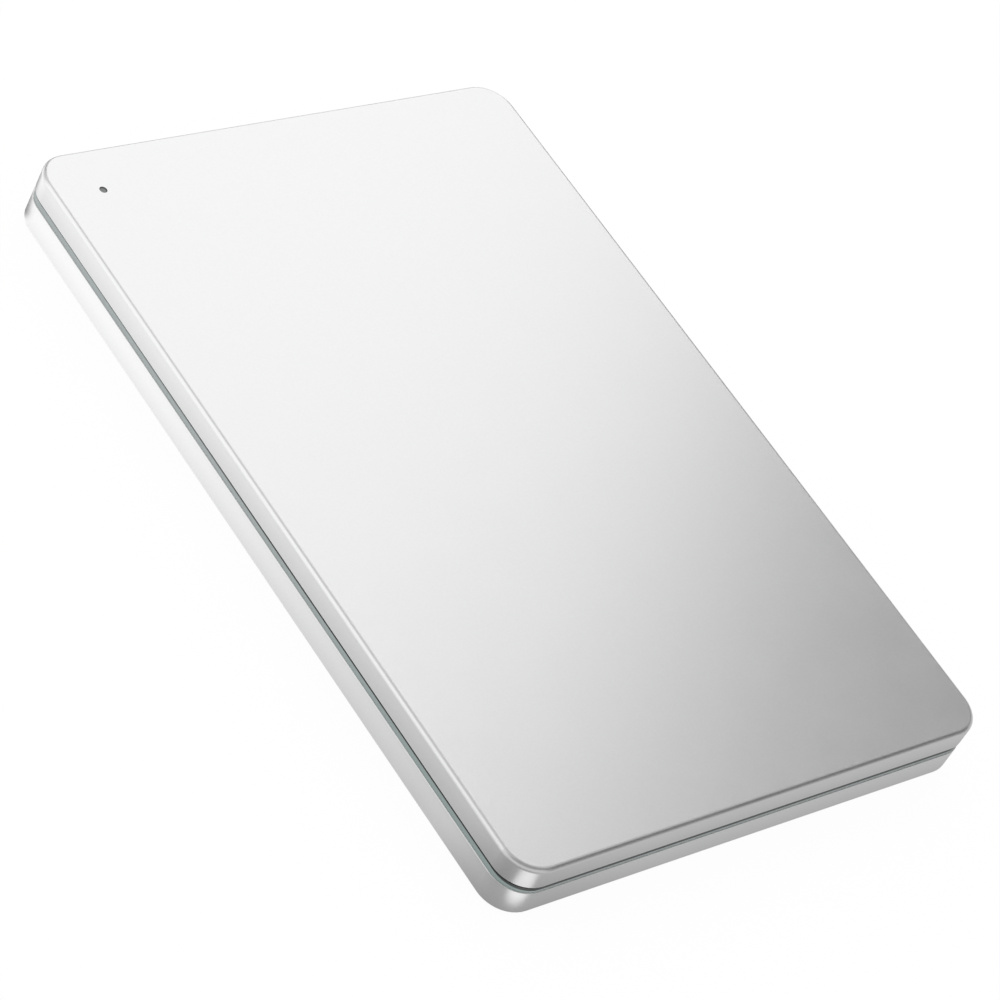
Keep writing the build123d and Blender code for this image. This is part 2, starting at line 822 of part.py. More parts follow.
# Disc, the clamp that holds it to the hub, and the clamp's screw
with BuildPart() as disc_platter:
    with BuildSketch(Plane.XY.offset(disc_bottom)):
        with Locations((0, spindle_y)):
            Circle(disc_radius)
            Circle(disc_bore_radius, mode=Mode.SUBTRACT)
    extrude(amount=disc_thickness)
disc_platter.part.label = "disc_platter"

clamp_top = disc_top + clamp_thickness
clamp_seat = clamp_top - clamp_relief_depth
with BuildPart() as disc_clamp:
    with BuildSketch(Plane.XY.offset(disc_top)):
        with Locations((0, spindle_y)):
            Circle(clamp_radius)
            Circle(clamp_screw_radius + screw_fit, mode=Mode.SUBTRACT)
    extrude(amount=clamp_thickness)
    with BuildSketch(Plane.XY.offset(clamp_seat)):
        with Locations((0, spindle_y)):
            Circle(clamp_relief_radius)
    extrude(amount=clamp_relief_depth, mode=Mode.SUBTRACT)
disc_clamp.part.label = "disc_clamp"

with BuildPart() as clamp_screw:
    with BuildSketch(Plane.XY.offset(clamp_seat)):
        with Locations((0, spindle_y)):
            Circle(clamp_head_radius)
    extrude(amount=clamp_head_height)
    with BuildSketch(Plane.XY.offset(clamp_seat)):
        with Locations((0, spindle_y)):
            Circle(clamp_screw_radius)
    extrude(amount=hub_top - clamp_screw_length + screw_tip_gap - clamp_seat)
    with BuildSketch(Plane.XY.offset(clamp_seat + clamp_head_height)):
        with Locations((0, spindle_y)):
            RegularPolygon(clamp_socket_radius, 6)
    extrude(amount=-clamp_socket_depth, mode=Mode.SUBTRACT)
clamp_screw.part.label = "clamp_screw"

# Pivot of the actuator: fixed post and bearings, turning sleeve
hub_height = upper_arm_top - lower_arm_bottom
pivot_bearing_radius = pivot_post_radius + glue_line + pivot_bearing_wall
sleeve_inner = pivot_bearing_radius + bearing_clearance
sleeve_outer = sleeve_inner + pivot_sleeve_wall
pivot_screw_depth = lid_bottom - cavity_floor - pivot_foot_height
with BuildPart() as pivot_post:
    with BuildSketch(arm_plane(cavity_floor)):
        Circle(pivot_foot_radius)
    extrude(amount=pivot_foot_height)
    with BuildSketch(arm_plane(cavity_floor)):
        Circle(pivot_post_radius)
    extrude(amount=lid_bottom - cavity_floor)
    with Locations((pivot_offset, pivot_y, lid_bottom)):
        Hole(screw_radius + screw_fit, depth=pivot_screw_depth)
pivot_post.part.label = "pivot_post"

with BuildPart() as pivot_screw:
    with Locations(pivot_top):
        flat_screw(lid_thickness + pivot_screw_depth - screw_tip_gap)
    with BuildSketch(Plane(origin=pivot_top)):
        RegularPolygon(screw_recess_radius, 6)
    extrude(amount=-screw_recess_depth, mode=Mode.SUBTRACT)
pivot_screw.part.label = "pivot_screw"

with BuildPart() as pivot_bearings:
    for bearing_bottom in (lower_arm_bottom, upper_arm_top - pivot_bearing_height):
        with BuildSketch(arm_plane(bearing_bottom)):
            Circle(pivot_bearing_radius)
            Circle(pivot_post_radius + glue_line, mode=Mode.SUBTRACT)
        extrude(amount=pivot_bearing_height)
pivot_bearings.part.label = "pivot_bearings"

with BuildPart() as pivot_sleeve:
    with BuildSketch(arm_plane(lower_arm_bottom)):
        Circle(sleeve_outer)
        Circle(sleeve_inner, mode=Mode.SUBTRACT)
    extrude(amount=hub_height)
pivot_sleeve.part.label = "pivot_sleeve"

# Actuator arm: hub, two arms over and under the disc, and the fork that carries the coil
coil_bottom = disc_plane - coil_thickness / 2
with BuildPart() as actuator_arm:
    with BuildSketch(arm_plane(lower_arm_bottom)):
        Circle(pivot_hub_radius)
    extrude(amount=hub_height)
    for arm_bottom in (lower_arm_bottom, upper_arm_bottom):
        with BuildSketch(arm_plane(arm_bottom)):
            Circle(pivot_hub_radius)
            with Locations((arm_reach, 0)):
                Circle(arm_tip_radius)
            make_hull()
            with Locations(((arm_reach + pivot_hub_radius) / 2, 0)):
                Circle(arm_hole_radius, mode=Mode.SUBTRACT)
        extrude(amount=arm_thickness)
    with BuildSketch(arm_plane(coil_bottom)):
        coil_outline(tine_width + glue_line)
        with Locations((-coil_start / 2, 0)):
            Rectangle(coil_start, 2 * neck_half)
    extrude(amount=coil_thickness)
    with BuildSketch(arm_plane(coil_bottom)):
        coil_outline(glue_line)
        with Locations((-coil_reach, 0)):
            Rectangle(2 * tine_back, 4 * coil_reach)
    extrude(amount=coil_thickness, mode=Mode.SUBTRACT)
    with BuildSketch(arm_plane(lower_arm_bottom)):
        Circle(sleeve_outer + glue_line)
    extrude(amount=hub_height, mode=Mode.SUBTRACT)
actuator_arm.part.label = "actuator_arm"

with BuildPart() as voice_coil:
    with BuildSketch(arm_plane(coil_bottom)):
        coil_outline(0)
    extrude(amount=coil_thickness)
    with BuildSketch(arm_plane(coil_bottom)):
        coil_outline(0)
        offset(amount=-coil_winding)
    extrude(amount=coil_thickness, mode=Mode.SUBTRACT)
voice_coil.part.label = "voice_coil"

# Suspensions and heads, mirrored about the disc
beam_start = arm_reach + arm_tip_radius - beam_plate_length
plate_end = arm_reach + arm_tip_radius
flat_start = head_reach - beam_flat
beam_end = head_reach + beam_tab_reach
beam_top = upper_arm_bottom
arm_side = Plane(
    origin=(pivot_offset, pivot_y, 0),
    x_dir=(cos(parked), sin(parked), 0),
    z_dir=(sin(parked), -cos(parked), 0),
)
with BuildPart() as upper_suspension:
    with BuildSketch(arm_side):
        with BuildLine():
            Polyline(
                (beam_start, beam_top),
                (plate_end, beam_top),
                (flat_start, head_top + beam_thickness),
                (beam_end, head_top + beam_thickness),
                (beam_end, head_top),
                (flat_start, head_top),
                (plate_end, beam_top - beam_thickness),
                (beam_start, beam_top - beam_thickness),
                close=True,
            )
        make_face()
    extrude(amount=arm_tip_radius, both=True)
    with BuildSketch(arm_plane(head_top)):
        with BuildLine():
            Polyline(
                (beam_start, arm_tip_radius),
                (plate_end, arm_tip_radius),
                (head_reach, head_width / 2),
                (head_reach + head_length, beam_tab_width / 2),
                (beam_end, beam_tab_width / 2),
                (beam_end, -beam_tab_width / 2),
                (head_reach + head_length, -beam_tab_width / 2),
                (head_reach, -head_width / 2),
                (plate_end, -arm_tip_radius),
                (beam_start, -arm_tip_radius),
                close=True,
            )
        make_face()
    extrude(amount=beam_top - head_top, mode=Mode.INTERSECT)
upper_suspension.part.label = "upper_suspension"

with BuildPart() as lower_suspension:
    mirror(upper_suspension.part, about=Plane.XY.offset(disc_plane))
lower_suspension.part.label = "lower_suspension"

with BuildPart() as upper_head:
    with BuildSketch(arm_plane(head_bottom)):
        with Locations((head_reach, 0)):
            Rectangle(head_length, head_width)
    extrude(amount=head_height)
upper_head.part.label = "upper_head"

with BuildPart() as lower_head:
    mirror(upper_head.part, about=Plane.XY.offset(disc_plane))
lower_head.part.label = "lower_head"

# Voice coil motor: two yokes on posts, two magnets, and rubber stops round the posts
yoke_inner = pivot_hub_radius + yoke_inner_gap
yoke_outer = coil_reach + yoke_margin
yoke_first = stop_first - stop_spread
yoke_last = stop_last + stop_spread
magnet_first = 180 - degrees(coil_slope)
magnet_last = 180 + degrees(coil_slope) + swing
lower_yoke_top = disc_plane - magnet_face - magnet_thickness
upper_yoke_bottom = disc_plane + magnet_face + magnet_thickness
stop_places = []
for stop_angle in (radians(stop_first), radians(stop_last)):
    stop_places.append((stop_spacing * cos(stop_angle), stop_spacing * sin(stop_angle)))
with BuildPart() as lower_yoke:
    with BuildSketch(arm_plane(cavity_floor)):
        sector(yoke_inner, yoke_outer, yoke_first, yoke_last)
    extrude(amount=lower_yoke_top - cavity_floor)
lower_yoke.part.label = "lower_yoke"

with BuildPart() as upper_yoke:
    with BuildSketch(arm_plane(upper_yoke_bottom)):
        sector(yoke_inner, yoke_outer, yoke_first, yoke_last)
    extrude(amount=lid_bottom - yoke_lid_gap - upper_yoke_bottom)
    with BuildSketch(arm_plane(lower_yoke_top)):
        with Locations(*stop_places):
            Circle(post_radius)
    extrude(amount=upper_yoke_bottom - lower_yoke_top)
upper_yoke.part.label = "upper_yoke"

with BuildPart() as lower_magnet:
    with BuildSketch(arm_plane(lower_yoke_top)):
        sector(yoke_inner + magnet_inset, yoke_outer - magnet_inset, magnet_first, magnet_last)
    extrude(amount=magnet_thickness)
lower_magnet.part.label = "lower_magnet"

with BuildPart() as upper_magnet:
    mirror(lower_magnet.part, about=Plane.XY.offset(disc_plane))
upper_magnet.part.label = "upper_magnet"

with BuildPart() as arm_stops:
    with BuildSketch(arm_plane(lower_yoke_top)):
        with Locations(*stop_places):
            Circle(stop_radius)
            Circle(post_radius + glue_line, mode=Mode.SUBTRACT)
    extrude(amount=upper_yoke_bottom - lower_yoke_top)
arm_stops.part.label = "arm_stops"

# Ramp beside the disc that the parked heads rest on, and its screw
ramp_top = head_top - ramp_clearance
ramp_bottom = 2 * disc_plane - ramp_top
finger_start = head_reach + head_length / 2 + ramp_head_gap
with BuildPart() as head_ramp:
    with BuildSketch(arm_plane(cavity_floor)):
        with Locations((ramp_foot_x + ramp_foot_length / 2, 0)):
            Rectangle(ramp_foot_length, 2 * ramp_foot_half)
    extrude(amount=ramp_top - cavity_floor)
    with BuildSketch(arm_plane(ramp_bottom)):
        with Locations(((finger_start + ramp_foot_x) / 2, 0)):
            Rectangle(ramp_foot_x - finger_start, 2 * ramp_finger_half)
    extrude(amount=ramp_top - ramp_bottom)
    with BuildSketch(Plane.XY.offset(cavity_floor)):
        with Locations((0, spindle_y)):
            Circle(disc_radius + disc_clearance)
    extrude(amount=ramp_top - cavity_floor, mode=Mode.SUBTRACT)
    with Locations((ramp_screw_x, ramp_screw_y, ramp_top)):
        flat_screw_seat(ramp_top - cavity_floor)
head_ramp.part.label = "head_ramp"

with BuildPart() as ramp_screw:
    with Locations((ramp_screw_x, ramp_screw_y, ramp_top)):
        flat_screw(ramp_top - cavity_floor + casting_floor - 2 * screw_tip_gap)
    with BuildSketch(Plane(origin=(ramp_screw_x, ramp_screw_y, ramp_top))):
        RegularPolygon(screw_recess_radius, 6)
    extrude(amount=-screw_recess_depth, mode=Mode.SUBTRACT)
ramp_screw.part.label = "ramp_screw"

# Air filter beside the disc
filter_radius = cavity_radius + filter_depth
filter_x = filter_radius * cos(radians(filter_angle))
filter_y = spindle_y + filter_radius * sin(radians(filter_angle))
with BuildPart() as air_filter:
    with BuildSketch(Plane.XY.offset(cavity_floor)):
        with Locations(Location((filter_x, filter_y), filter_angle)):
            Rectangle(filter_depth, filter_length)
    extrude(amount=filter_height)
air_filter.part.label = "air_filter"

# Flexible circuit: the block that takes it through the floor, and the loop towards the pivot
free_spacing = pivot_hub_radius + flex_free_gap
free_x = pivot_offset + free_spacing * cos(radians(flex_free_angle))
free_y = pivot_y + free_spacing * sin(radians(flex_free_angle))
block_right = free_x - flex_run
block_y = bay_end - flex_block_gap - flex_block_depth / 2
with BuildPart() as flex_block:
    with BuildSketch(Plane.XY.offset(cavity_floor)):
        with Locations((block_right - flex_block_width / 2, block_y)):
            Rectangle(flex_block_width, flex_block_depth)
    extrude(amount=flex_block_height)
flex_block.part.label = "flex_block"

with BuildPart() as flex_cable:
    with BuildSketch(Plane.XY.offset(disc_plane - flex_tape_width / 2)):
        with BuildLine() as flex_path:
            TangentArc((block_right, block_y), (free_x, free_y), tangent=(1, 0))
        trace(flex_path.line, line_width=flex_tape)
        with Locations((block_right - flex_tape, block_y)):
            Rectangle(2 * flex_tape, 2 * flex_tape, mode=Mode.SUBTRACT)
    extrude(amount=flex_tape_width)
flex_cable.part.label = "flex_cable"

# Controller board under the casting, its chips, screws and insulating sheet
controller_screw_heads = []
for screw_x, screw_y in controller_screw_places:
    controller_screw_heads.append(Location((screw_x, screw_y, controller_bottom), (180, 0, 0)))
with BuildPart() as controller_board:
    with BuildSketch(Plane.XY.offset(controller_bottom)):
        controller_outline(0)
    extrude(amount=controller_thickness)
    with Locations(*controller_screw_heads):
        flat_screw_seat(controller_thickness)
controller_board.part.label = "controller_board"

with BuildPart() as controller_screws:
    with Locations(*controller_screw_heads):
        flat_screw(controller_thickness + controller_screw_depth - screw_tip_gap)
    for x, y in controller_screw_places:
        with BuildSketch(Plane.XY.offset(controller_bottom)):
            with Locations((x, y)):
                RegularPolygon(screw_recess_radius, 6)
        extrude(amount=screw_recess_depth, mode=Mode.SUBTRACT)
controller_screws.part.label = "controller_screws"

with BuildPart() as controller_insulator:
    with BuildSketch(Plane.XY.offset(pocket_roof - insulator_thickness)):
        controller_outline(0)
        with Locations(*controller_screw_places):
            Circle(screw_pillar_radius + controller_clearance, mode=Mode.SUBTRACT)
        with Locations((0, (notch_front + drive_rear) / 2 - controller_clearance)):
            Rectangle(drive_width, plug_depth, mode=Mode.SUBTRACT)
    extrude(amount=insulator_thickness)
controller_insulator.part.label = "controller_insulator"

chip_row = (controller_front + notch_front) / 2
with BuildPart() as controller_chip:
    with BuildSketch(Plane.XY.offset(controller_top)):
        with Locations((0, chip_row)):
            Rectangle(main_chip_size, main_chip_size)
    extrude(amount=chip_height)
controller_chip.part.label = "controller_chip"

with BuildPart() as motor_chip:
    with BuildSketch(Plane.XY.offset(controller_top)):
        with Locations((chip_spacing, chip_row)):
            Rectangle(motor_chip_size, motor_chip_size)
    extrude(amount=chip_height)
motor_chip.part.label = "motor_chip"

with BuildPart() as memory_chip:
    with BuildSketch(Plane.XY.offset(controller_top)):
        with Locations((-chip_spacing, chip_row)):
            Rectangle(memory_chip_length, memory_chip_width)
    extrude(amount=chip_height)
memory_chip.part.label = "memory_chip"

# Plug on the controller board: a body, two guides and two tongues
plug_front = notch_front + plug_gap
plug_end = drive_rear - plug_recess
tongue_start = plug_end - tongue_length
tongues_width = power_tongue + tongue_spacing + signal_tongue
power_x = plug_x + (power_tongue - tongues_width) / 2
signal_x = plug_x + (tongues_width - signal_tongue) / 2
tongue_middle = (tongue_start + plug_end) / 2
guide_x = (plug_width - plug_guide) / 2
with BuildPart() as drive_plug:
    with BuildSketch(Plane.XY.offset(controller_top)):
        with Locations((plug_x, (plug_front + tongue_start) / 2)):
            Rectangle(plug_width, tongue_start - plug_front)
        with Locations((plug_x - guide_x, tongue_middle), (plug_x + guide_x, tongue_middle)):
            Rectangle(plug_guide, tongue_length)
    extrude(amount=plug_level + plug_half_height - controller_top)
    with BuildSketch(Plane.XY.offset(plug_level - tongue_thickness / 2)):
        with Locations((power_x, tongue_middle)):
            Rectangle(power_tongue, tongue_length)
        with Locations((signal_x, tongue_middle)):
            Rectangle(signal_tongue, tongue_length)
    extrude(amount=tongue_thickness)
drive_plug.part.label = "drive_plug"

# Socket on the bridge board, over the plug's tongues
socket_front = tongue_start + socket_end_gap
socket_rear = socket_front + socket_length
slot_end = plug_end + socket_end_gap
slot_middle = (socket_front + slot_end) / 2
slot_height = tongue_thickness + 2 * tongue_fit
bridge_front = socket_rear - socket_board_slot
with BuildPart() as drive_socket:
    with BuildSketch(Plane.XY.offset(plug_level - socket_half_height)):
        with Locations((plug_x, (socket_front + socket_rear) / 2)):
            Rectangle(socket_width, socket_length)
    extrude(amount=2 * socket_half_height)
    with BuildSketch(Plane.XY.offset(plug_level - slot_height / 2)):
        with Locations((power_x, slot_middle)):
            Rectangle(power_tongue + 2 * tongue_fit, slot_end - socket_front)
        with Locations((signal_x, slot_middle)):
            Rectangle(signal_tongue + 2 * tongue_fit, slot_end - socket_front)
    extrude(amount=slot_height, mode=Mode.SUBTRACT)
    with BuildSketch(Plane.XY.offset(bridge_bottom)):
        with Locations((plug_x, socket_rear - socket_board_slot / 2)):
            Rectangle(socket_width, socket_board_slot)
    extrude(amount=bridge_thickness, mode=Mode.SUBTRACT)
drive_socket.part.label = "drive_socket"

# Bridge board behind the drive, screwed to the frame's pillars
bridge_left = bridge_gap - frame_inner_half
bridge_rear = frame_inner_rear - bridge_gap
bridge_middle = (bridge_front + bridge_rear) / 2
bridge_screw_places = []
for screw_x in (-pillar_x, bridge_pillar_x):
    bridge_screw_places.append((screw_x, bridge_screw_y, bridge_top))
with BuildPart() as bridge_board:
    with BuildSketch(Plane.XY.offset(bridge_bottom)):
        with Locations(((bridge_left + bridge_right) / 2, bridge_middle)):
            RectangleRounded(
                bridge_right - bridge_left,
                bridge_rear - bridge_front,
                frame_inner_corner - bridge_gap,
            )
    extrude(amount=bridge_thickness)
    with Locations(*bridge_screw_places):
        flat_screw_seat(bridge_thickness)
bridge_board.part.label = "bridge_board"

with BuildPart() as bridge_screws:
    with Locations(*bridge_screw_places):
        flat_screw(bridge_top - cover_skin - 2 * screw_tip_gap)
    for place in bridge_screw_places:
        with BuildSketch(Plane(origin=place)):
            RegularPolygon(screw_recess_radius, 6)
        extrude(amount=-screw_recess_depth, mode=Mode.SUBTRACT)
bridge_screws.part.label = "bridge_screws"

with BuildPart() as bridge_chip:
    with BuildSketch(Plane.XY.offset(bridge_top)):
        with Locations((bridge_chip_left + bridge_chip_size / 2, bridge_middle)):
            Rectangle(bridge_chip_size, bridge_chip_size)
    extrude(amount=bridge_chip_height)
bridge_chip.part.label = "bridge_chip"

component_y = (socket_rear + bridge_rear) / 2
with BuildPart() as clock_crystal:
    with BuildSketch(Plane.XY.offset(bridge_top)):
        with Locations((bridge_chip_left - crystal_gap - crystal_length / 2, component_y)):
            RectangleRounded(crystal_length, crystal_width, crystal_corner)
    extrude(amount=crystal_height)
clock_crystal.part.label = "clock_crystal"

with BuildPart() as board_capacitors:
    with BuildSketch(Plane.XY.offset(bridge_top)):
        with Locations((plug_x, component_y)):
            with GridLocations(capacitor_spacing, capacitor_width, capacitor_count, 1):
                Rectangle(capacitor_length, capacitor_width)
    extrude(amount=capacitor_width)
board_capacitors.part.label = "board_capacitors"

# Indicator lamp, and the light pipe from it to the pinhole
with BuildPart() as indicator_led:
    with BuildSketch(Plane.XY.offset(bridge_top)):
        with Locations((led_x, led_y)):
            Rectangle(led_length, led_width)
    extrude(amount=led_height)
indicator_led.part.label = "indicator_led"

pipe_bottom = bridge_top + led_height + pipe_led_gap
with BuildPart() as light_pipe:
    with BuildSketch(Plane.XY.offset(pipe_bottom)):
        with Locations((led_x, led_y)):
            Circle(pipe_radius)
    extrude(amount=top_underside - pipe_bottom)
    with BuildSketch(Plane.XY.offset(top_underside - pipe_flange_height)):
        with Locations((led_x, led_y)):
            Circle(pipe_flange_radius)
    extrude(amount=pipe_flange_height)
    with BuildSketch(Plane.XY.offset(top_underside)):
        with Locations((led_x, led_y)):
            Circle(pinhole_radius - pipe_pin_fit)
    extrude(amount=cover_skin - pipe_recess)
light_pipe.part.label = "light_pipe"

# Port: steel shell, the insulator that fills its back, and the contacts on its two tabs
back_start = port_recess + port_depth
with BuildPart() as port_shell:
    with BuildSketch(port_plane(port_recess)):
        port_outline()
        offset(amount=port_wall)
        port_outline(mode=Mode.SUBTRACT)
    extrude(amount=-port_depth)
port_shell.part.label = "port_shell"

main_half_x = (port_plain_width + port_bridge_width) / 2
plain_half_x = (port_plain_width - port_width) / 2
tab_length = port_depth - port_back - tab_set_back
with BuildPart() as port_insulator:
    with BuildSketch(port_plane(back_start)):
        port_outline()
        offset(amount=-glue_line)
    extrude(amount=port_back)
    with BuildSketch(port_plane(back_start - port_back)):
        with Locations((main_half_x, 0)):
            Rectangle(tab_wide, tab_thickness)
        with Locations((plain_half_x, 0)):
            Rectangle(tab_narrow, tab_thickness)
    extrude(amount=tab_length)
port_insulator.part.label = "port_insulator"

with BuildPart() as port_contacts:
    with BuildSketch(port_plane(back_start - port_back)):
        for tab_x, tab_width in ((main_half_x, tab_wide), (plain_half_x, tab_narrow)):
            with Locations((tab_x, (tab_thickness + contact_thickness) / 2)):
                with GridLocations(tab_width / contact_count, tab_width, contact_count, 1):
                    Rectangle(contact_width, contact_thickness)
    extrude(amount=contact_length)
port_contacts.part.label = "port_contacts"

case_pieces = [top_cover, bottom_cover, mid_frame, light_pipe]
soft_pieces = [top_pad, bottom_pad, side_bumpers, end_bumpers]
drive_pieces = [base_casting, drive_lid, lid_gasket, lid_screws, air_filter, flex_block, flex_cable]
spindle_pieces = [spindle_bearing, stator_core, stator_coils, rotor_magnet, spindle_hub, spindle_shaft]
disc_pieces = [disc_platter, disc_clamp, clamp_screw]
pivot_pieces = [pivot_post, pivot_screw, pivot_bearings, pivot_sleeve]
arm_pieces = [actuator_arm, voice_coil, upper_suspension, lower_suspension, upper_head, lower_head]
coil_motor_pieces = [lower_yoke, upper_yoke, lower_magnet, upper_magnet, arm_stops]
ramp_pieces = [head_ramp, ramp_screw]
controller_pieces = [controller_board, controller_screws, controller_insulator, drive_plug]
chip_pieces = [controller_chip, motor_chip, memory_chip]
bridge_pieces = [bridge_board, bridge_screws, drive_socket, bridge_chip, clock_crystal]
small_pieces = [board_capacitors, indicator_led]
port_pieces = [port_shell, port_insulator, port_contacts]

os.makedirs("parts", exist_ok=True)
for piece in (
    case_pieces
    + soft_pieces
    + drive_pieces
    + spindle_pieces
    + disc_pieces
    + pivot_pieces
    + arm_pieces
    + coil_motor_pieces
    + ramp_pieces
    + controller_pieces
    + chip_pieces
    + bridge_pieces
    + small_pieces
    + port_pieces
):
    export_step(piece.part, f"parts/{piece.part.label}.step")
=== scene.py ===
import json
import math
import bpy
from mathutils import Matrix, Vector


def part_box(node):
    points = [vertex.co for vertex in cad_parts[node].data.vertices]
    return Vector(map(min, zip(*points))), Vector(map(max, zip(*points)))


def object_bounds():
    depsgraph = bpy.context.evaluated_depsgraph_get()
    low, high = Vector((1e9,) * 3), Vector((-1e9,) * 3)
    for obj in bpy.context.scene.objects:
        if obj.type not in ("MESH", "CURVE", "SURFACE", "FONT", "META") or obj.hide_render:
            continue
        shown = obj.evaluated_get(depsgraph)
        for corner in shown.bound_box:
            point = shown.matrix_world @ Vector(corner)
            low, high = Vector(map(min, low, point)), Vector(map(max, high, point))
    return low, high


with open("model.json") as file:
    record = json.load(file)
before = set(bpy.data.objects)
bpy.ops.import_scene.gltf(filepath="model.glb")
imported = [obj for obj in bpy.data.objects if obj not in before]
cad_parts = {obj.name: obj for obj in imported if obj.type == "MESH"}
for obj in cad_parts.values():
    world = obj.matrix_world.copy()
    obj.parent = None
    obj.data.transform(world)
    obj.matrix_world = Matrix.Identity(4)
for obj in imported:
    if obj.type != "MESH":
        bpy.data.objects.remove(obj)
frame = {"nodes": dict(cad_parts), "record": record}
cad_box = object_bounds()
scene = bpy.context.scene
scene.view_settings.view_transform = "Standard"

# The frame is in metres, and the finishes work in millimetres
per_metre = 1000


class Wire:
    """One output of a shader node. Arithmetic on wires adds Math nodes to their tree."""

    def __init__(self, tree, socket=None):
        self.tree = tree
        self.socket = socket

    def node(self, kind, settings, sockets, output=0):
        """Adds a node: its settings first, then its sockets' values or links. Gives one output."""
        made = self.tree.nodes.new(kind)
        for name, value in settings.items():
            setattr(made, name, value)
        feed(made, sockets)
        return Wire(self.tree, made.outputs[output])

    def maths(self, operation, first, second=0.0):
        return self.node("ShaderNodeMath", {"operation": operation}, {0: first, 1: second})

    def __add__(self, other):
        return self.maths("ADD", self, other)

    def __radd__(self, other):
        return self.maths("ADD", other, self)

    def __sub__(self, other):
        return self.maths("SUBTRACT", self, other)

    def __rsub__(self, other):
        return self.maths("SUBTRACT", other, self)

    def __mul__(self, other):
        return self.maths("MULTIPLY", self, other)

    def __rmul__(self, other):
        return self.maths("MULTIPLY", other, self)

    def __truediv__(self, other):
        return self.maths("DIVIDE", self, other)

    def __mod__(self, other):
        return self.maths("FLOORED_MODULO", self, other)

    def __lt__(self, other):
        return self.maths("LESS_THAN", self, other)

    def __gt__(self, other):
        return self.maths("GREATER_THAN", self, other)

    def __abs__(self):
        return self.maths("ABSOLUTE", self)


def feed(made, sockets):
    """Sets or links a node's sockets."""
    for name, value in sockets.items():
        if isinstance(value, Wire):
            value.tree.links.new(value.socket, made.inputs[name])
        else:
            made.inputs[name].default_value = value


# Places and patterns, all in millimetres

def in_millimetres(corners):
    """The lowest and the highest corner of a box."""
    return [per_metre * corner for corner in corners]


def middle(node):
    """The middle of a CAD node."""
    low, high = in_millimetres(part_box(node))
    return (low + high) / 2


def surface_place(tree):
    """The surface's place in the frame."""
    metres = Wire(tree).node("ShaderNodeTexCoord", {}, {}, "Object")
    return metres.node("ShaderNodeVectorMath", {"operation": "SCALE"}, {0: metres, "Scale": per_metre})


def new_finish(name):
    """An empty finish: its material, its shader and the surface's place."""
    material = bpy.data.materials.new(name)
    material.use_nodes = True
    tree = material.node_tree
    return material, tree.nodes["Principled BSDF"], surface_place(tree)


def axes(place):
    """The three coordinates of a place or of a direction."""
    return [place.node("ShaderNodeSeparateXYZ", {}, {0: place}, axis) for axis in "XYZ"]


def facing(place):
    """The three coordinates of the surface's normal."""
    return axes(place.node("ShaderNodeNewGeometry", {}, {}, "Normal"))


def steepness(place):
    """0 on level faces, 1 on upright ones."""
    return 1 - abs(facing(place)[2])


def joined(x, y, z):
    return x.node("ShaderNodeCombineXYZ", {}, {0: x, 1: y, 2: z})


def stretched(place, x, y, z):
    """A place with its coordinates scaled, for streaks along an axis."""
    return place.node("ShaderNodeVectorMath", {"operation": "MULTIPLY"}, {0: place, 1: (x, y, z)})


def radius_about(place, centre):
    """Distance from an upright axis."""
    x, y = axes(place)[:2]
    across, along = x - centre.x, y - centre.y
    square = across * across + along * along
    return square.maths("SQRT", square)


def angle_about(place, centre):
    """Angle round an upright axis, in radians."""
    x, y = axes(place)[:2]
    return x.maths("ARCTAN2", y - centre.y, x - centre.x)


def speckle(place, size, detail=2.0):
    """Noise from 0 to 1 with spots of a size."""
    sockets = {"Vector": place, "Scale": 1 / size, "Detail": detail, "Roughness": 0.55}
    return place.node("ShaderNodeTexNoise", {}, sockets, "Fac")


def dimples(place, size):
    """Round dimples of a size: 0 at their middles."""
    return place.node("ShaderNodeTexVoronoi", {}, {"Vector": place, "Scale": 1 / size}, "Distance")


def sharpened(value, low, high):
    """A value carried from 0 at low to 1 at high, and held outside."""
    sockets = {"Value": value, "From Min": low, "From Max": high}
    return value.node("ShaderNodeMapRange", {"interpolation_type": "SMOOTHSTEP"}, sockets)


def spread(noise):
    """Noise carried over the range in which most of it lies."""
    return sharpened(noise, 0.3, 0.7)


def blended(mask, low, high):
    """A colour from low to high as the mask goes from 0 to 1."""
    return mask.node("ShaderNodeMix", {"data_type": "RGBA"}, {0: mask, 6: low, 7: high}, 2)


def relief(height, strength, depth):
    """Bump from a height, with its depth in millimetres."""
    sockets = {"Strength": strength, "Distance": depth / per_metre, "Height": height}
    return height.node("ShaderNodeBump", {}, sockets)


def tint(red, green, blue):
    return (red, green, blue, 1)


spindle = middle("disc_platter")
pivot = middle("pivot_sleeve")
black_low = tint(0.014, 0.014, 0.016)
black_high = tint(0.04, 0.04, 0.043)
gold_plate = tint(0.83, 0.62, 0.26)


# Finishes seen from outside

def satin_aluminium(name, tray, over_top, over_bottom):
    """Bead-blasted, clear anodised tray with fine even dimples, and painted shade that darkens its colour
    down its walls.
    The heights where that painted shade begins and ends are given from the tray's top and from its bottom."""
    material, shader, place = new_finish(name)
    low, high = in_millimetres(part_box(tray))
    blast = speckle(place, 0.3, detail=3.0)
    cloud = speckle(place, 7.0)
    grain = spread(0.8 * blast + 0.2 * cloud)
    # Painted shade: depth darkens the colour from the top of each wall down to its foot
    depth = 1 - sharpened(axes(place)[2], low.z + over_bottom, high.z + over_top)
    dull = blended(depth, tint(0.903, 0.903, 0.905), tint(0.767, 0.767, 0.77))
    bright = blended(depth, tint(0.927, 0.927, 0.927), tint(0.785, 0.785, 0.787))
    bump = relief(dimples(place, 0.35) + blast, strength=0.14, depth=0.018)
    feed(shader, {"Metallic": 1.0, "Base Color": blended(grain, dull, bright)})
    feed(shader, {"Roughness": 0.29 + 0.06 * grain, "Normal": bump})
    return material


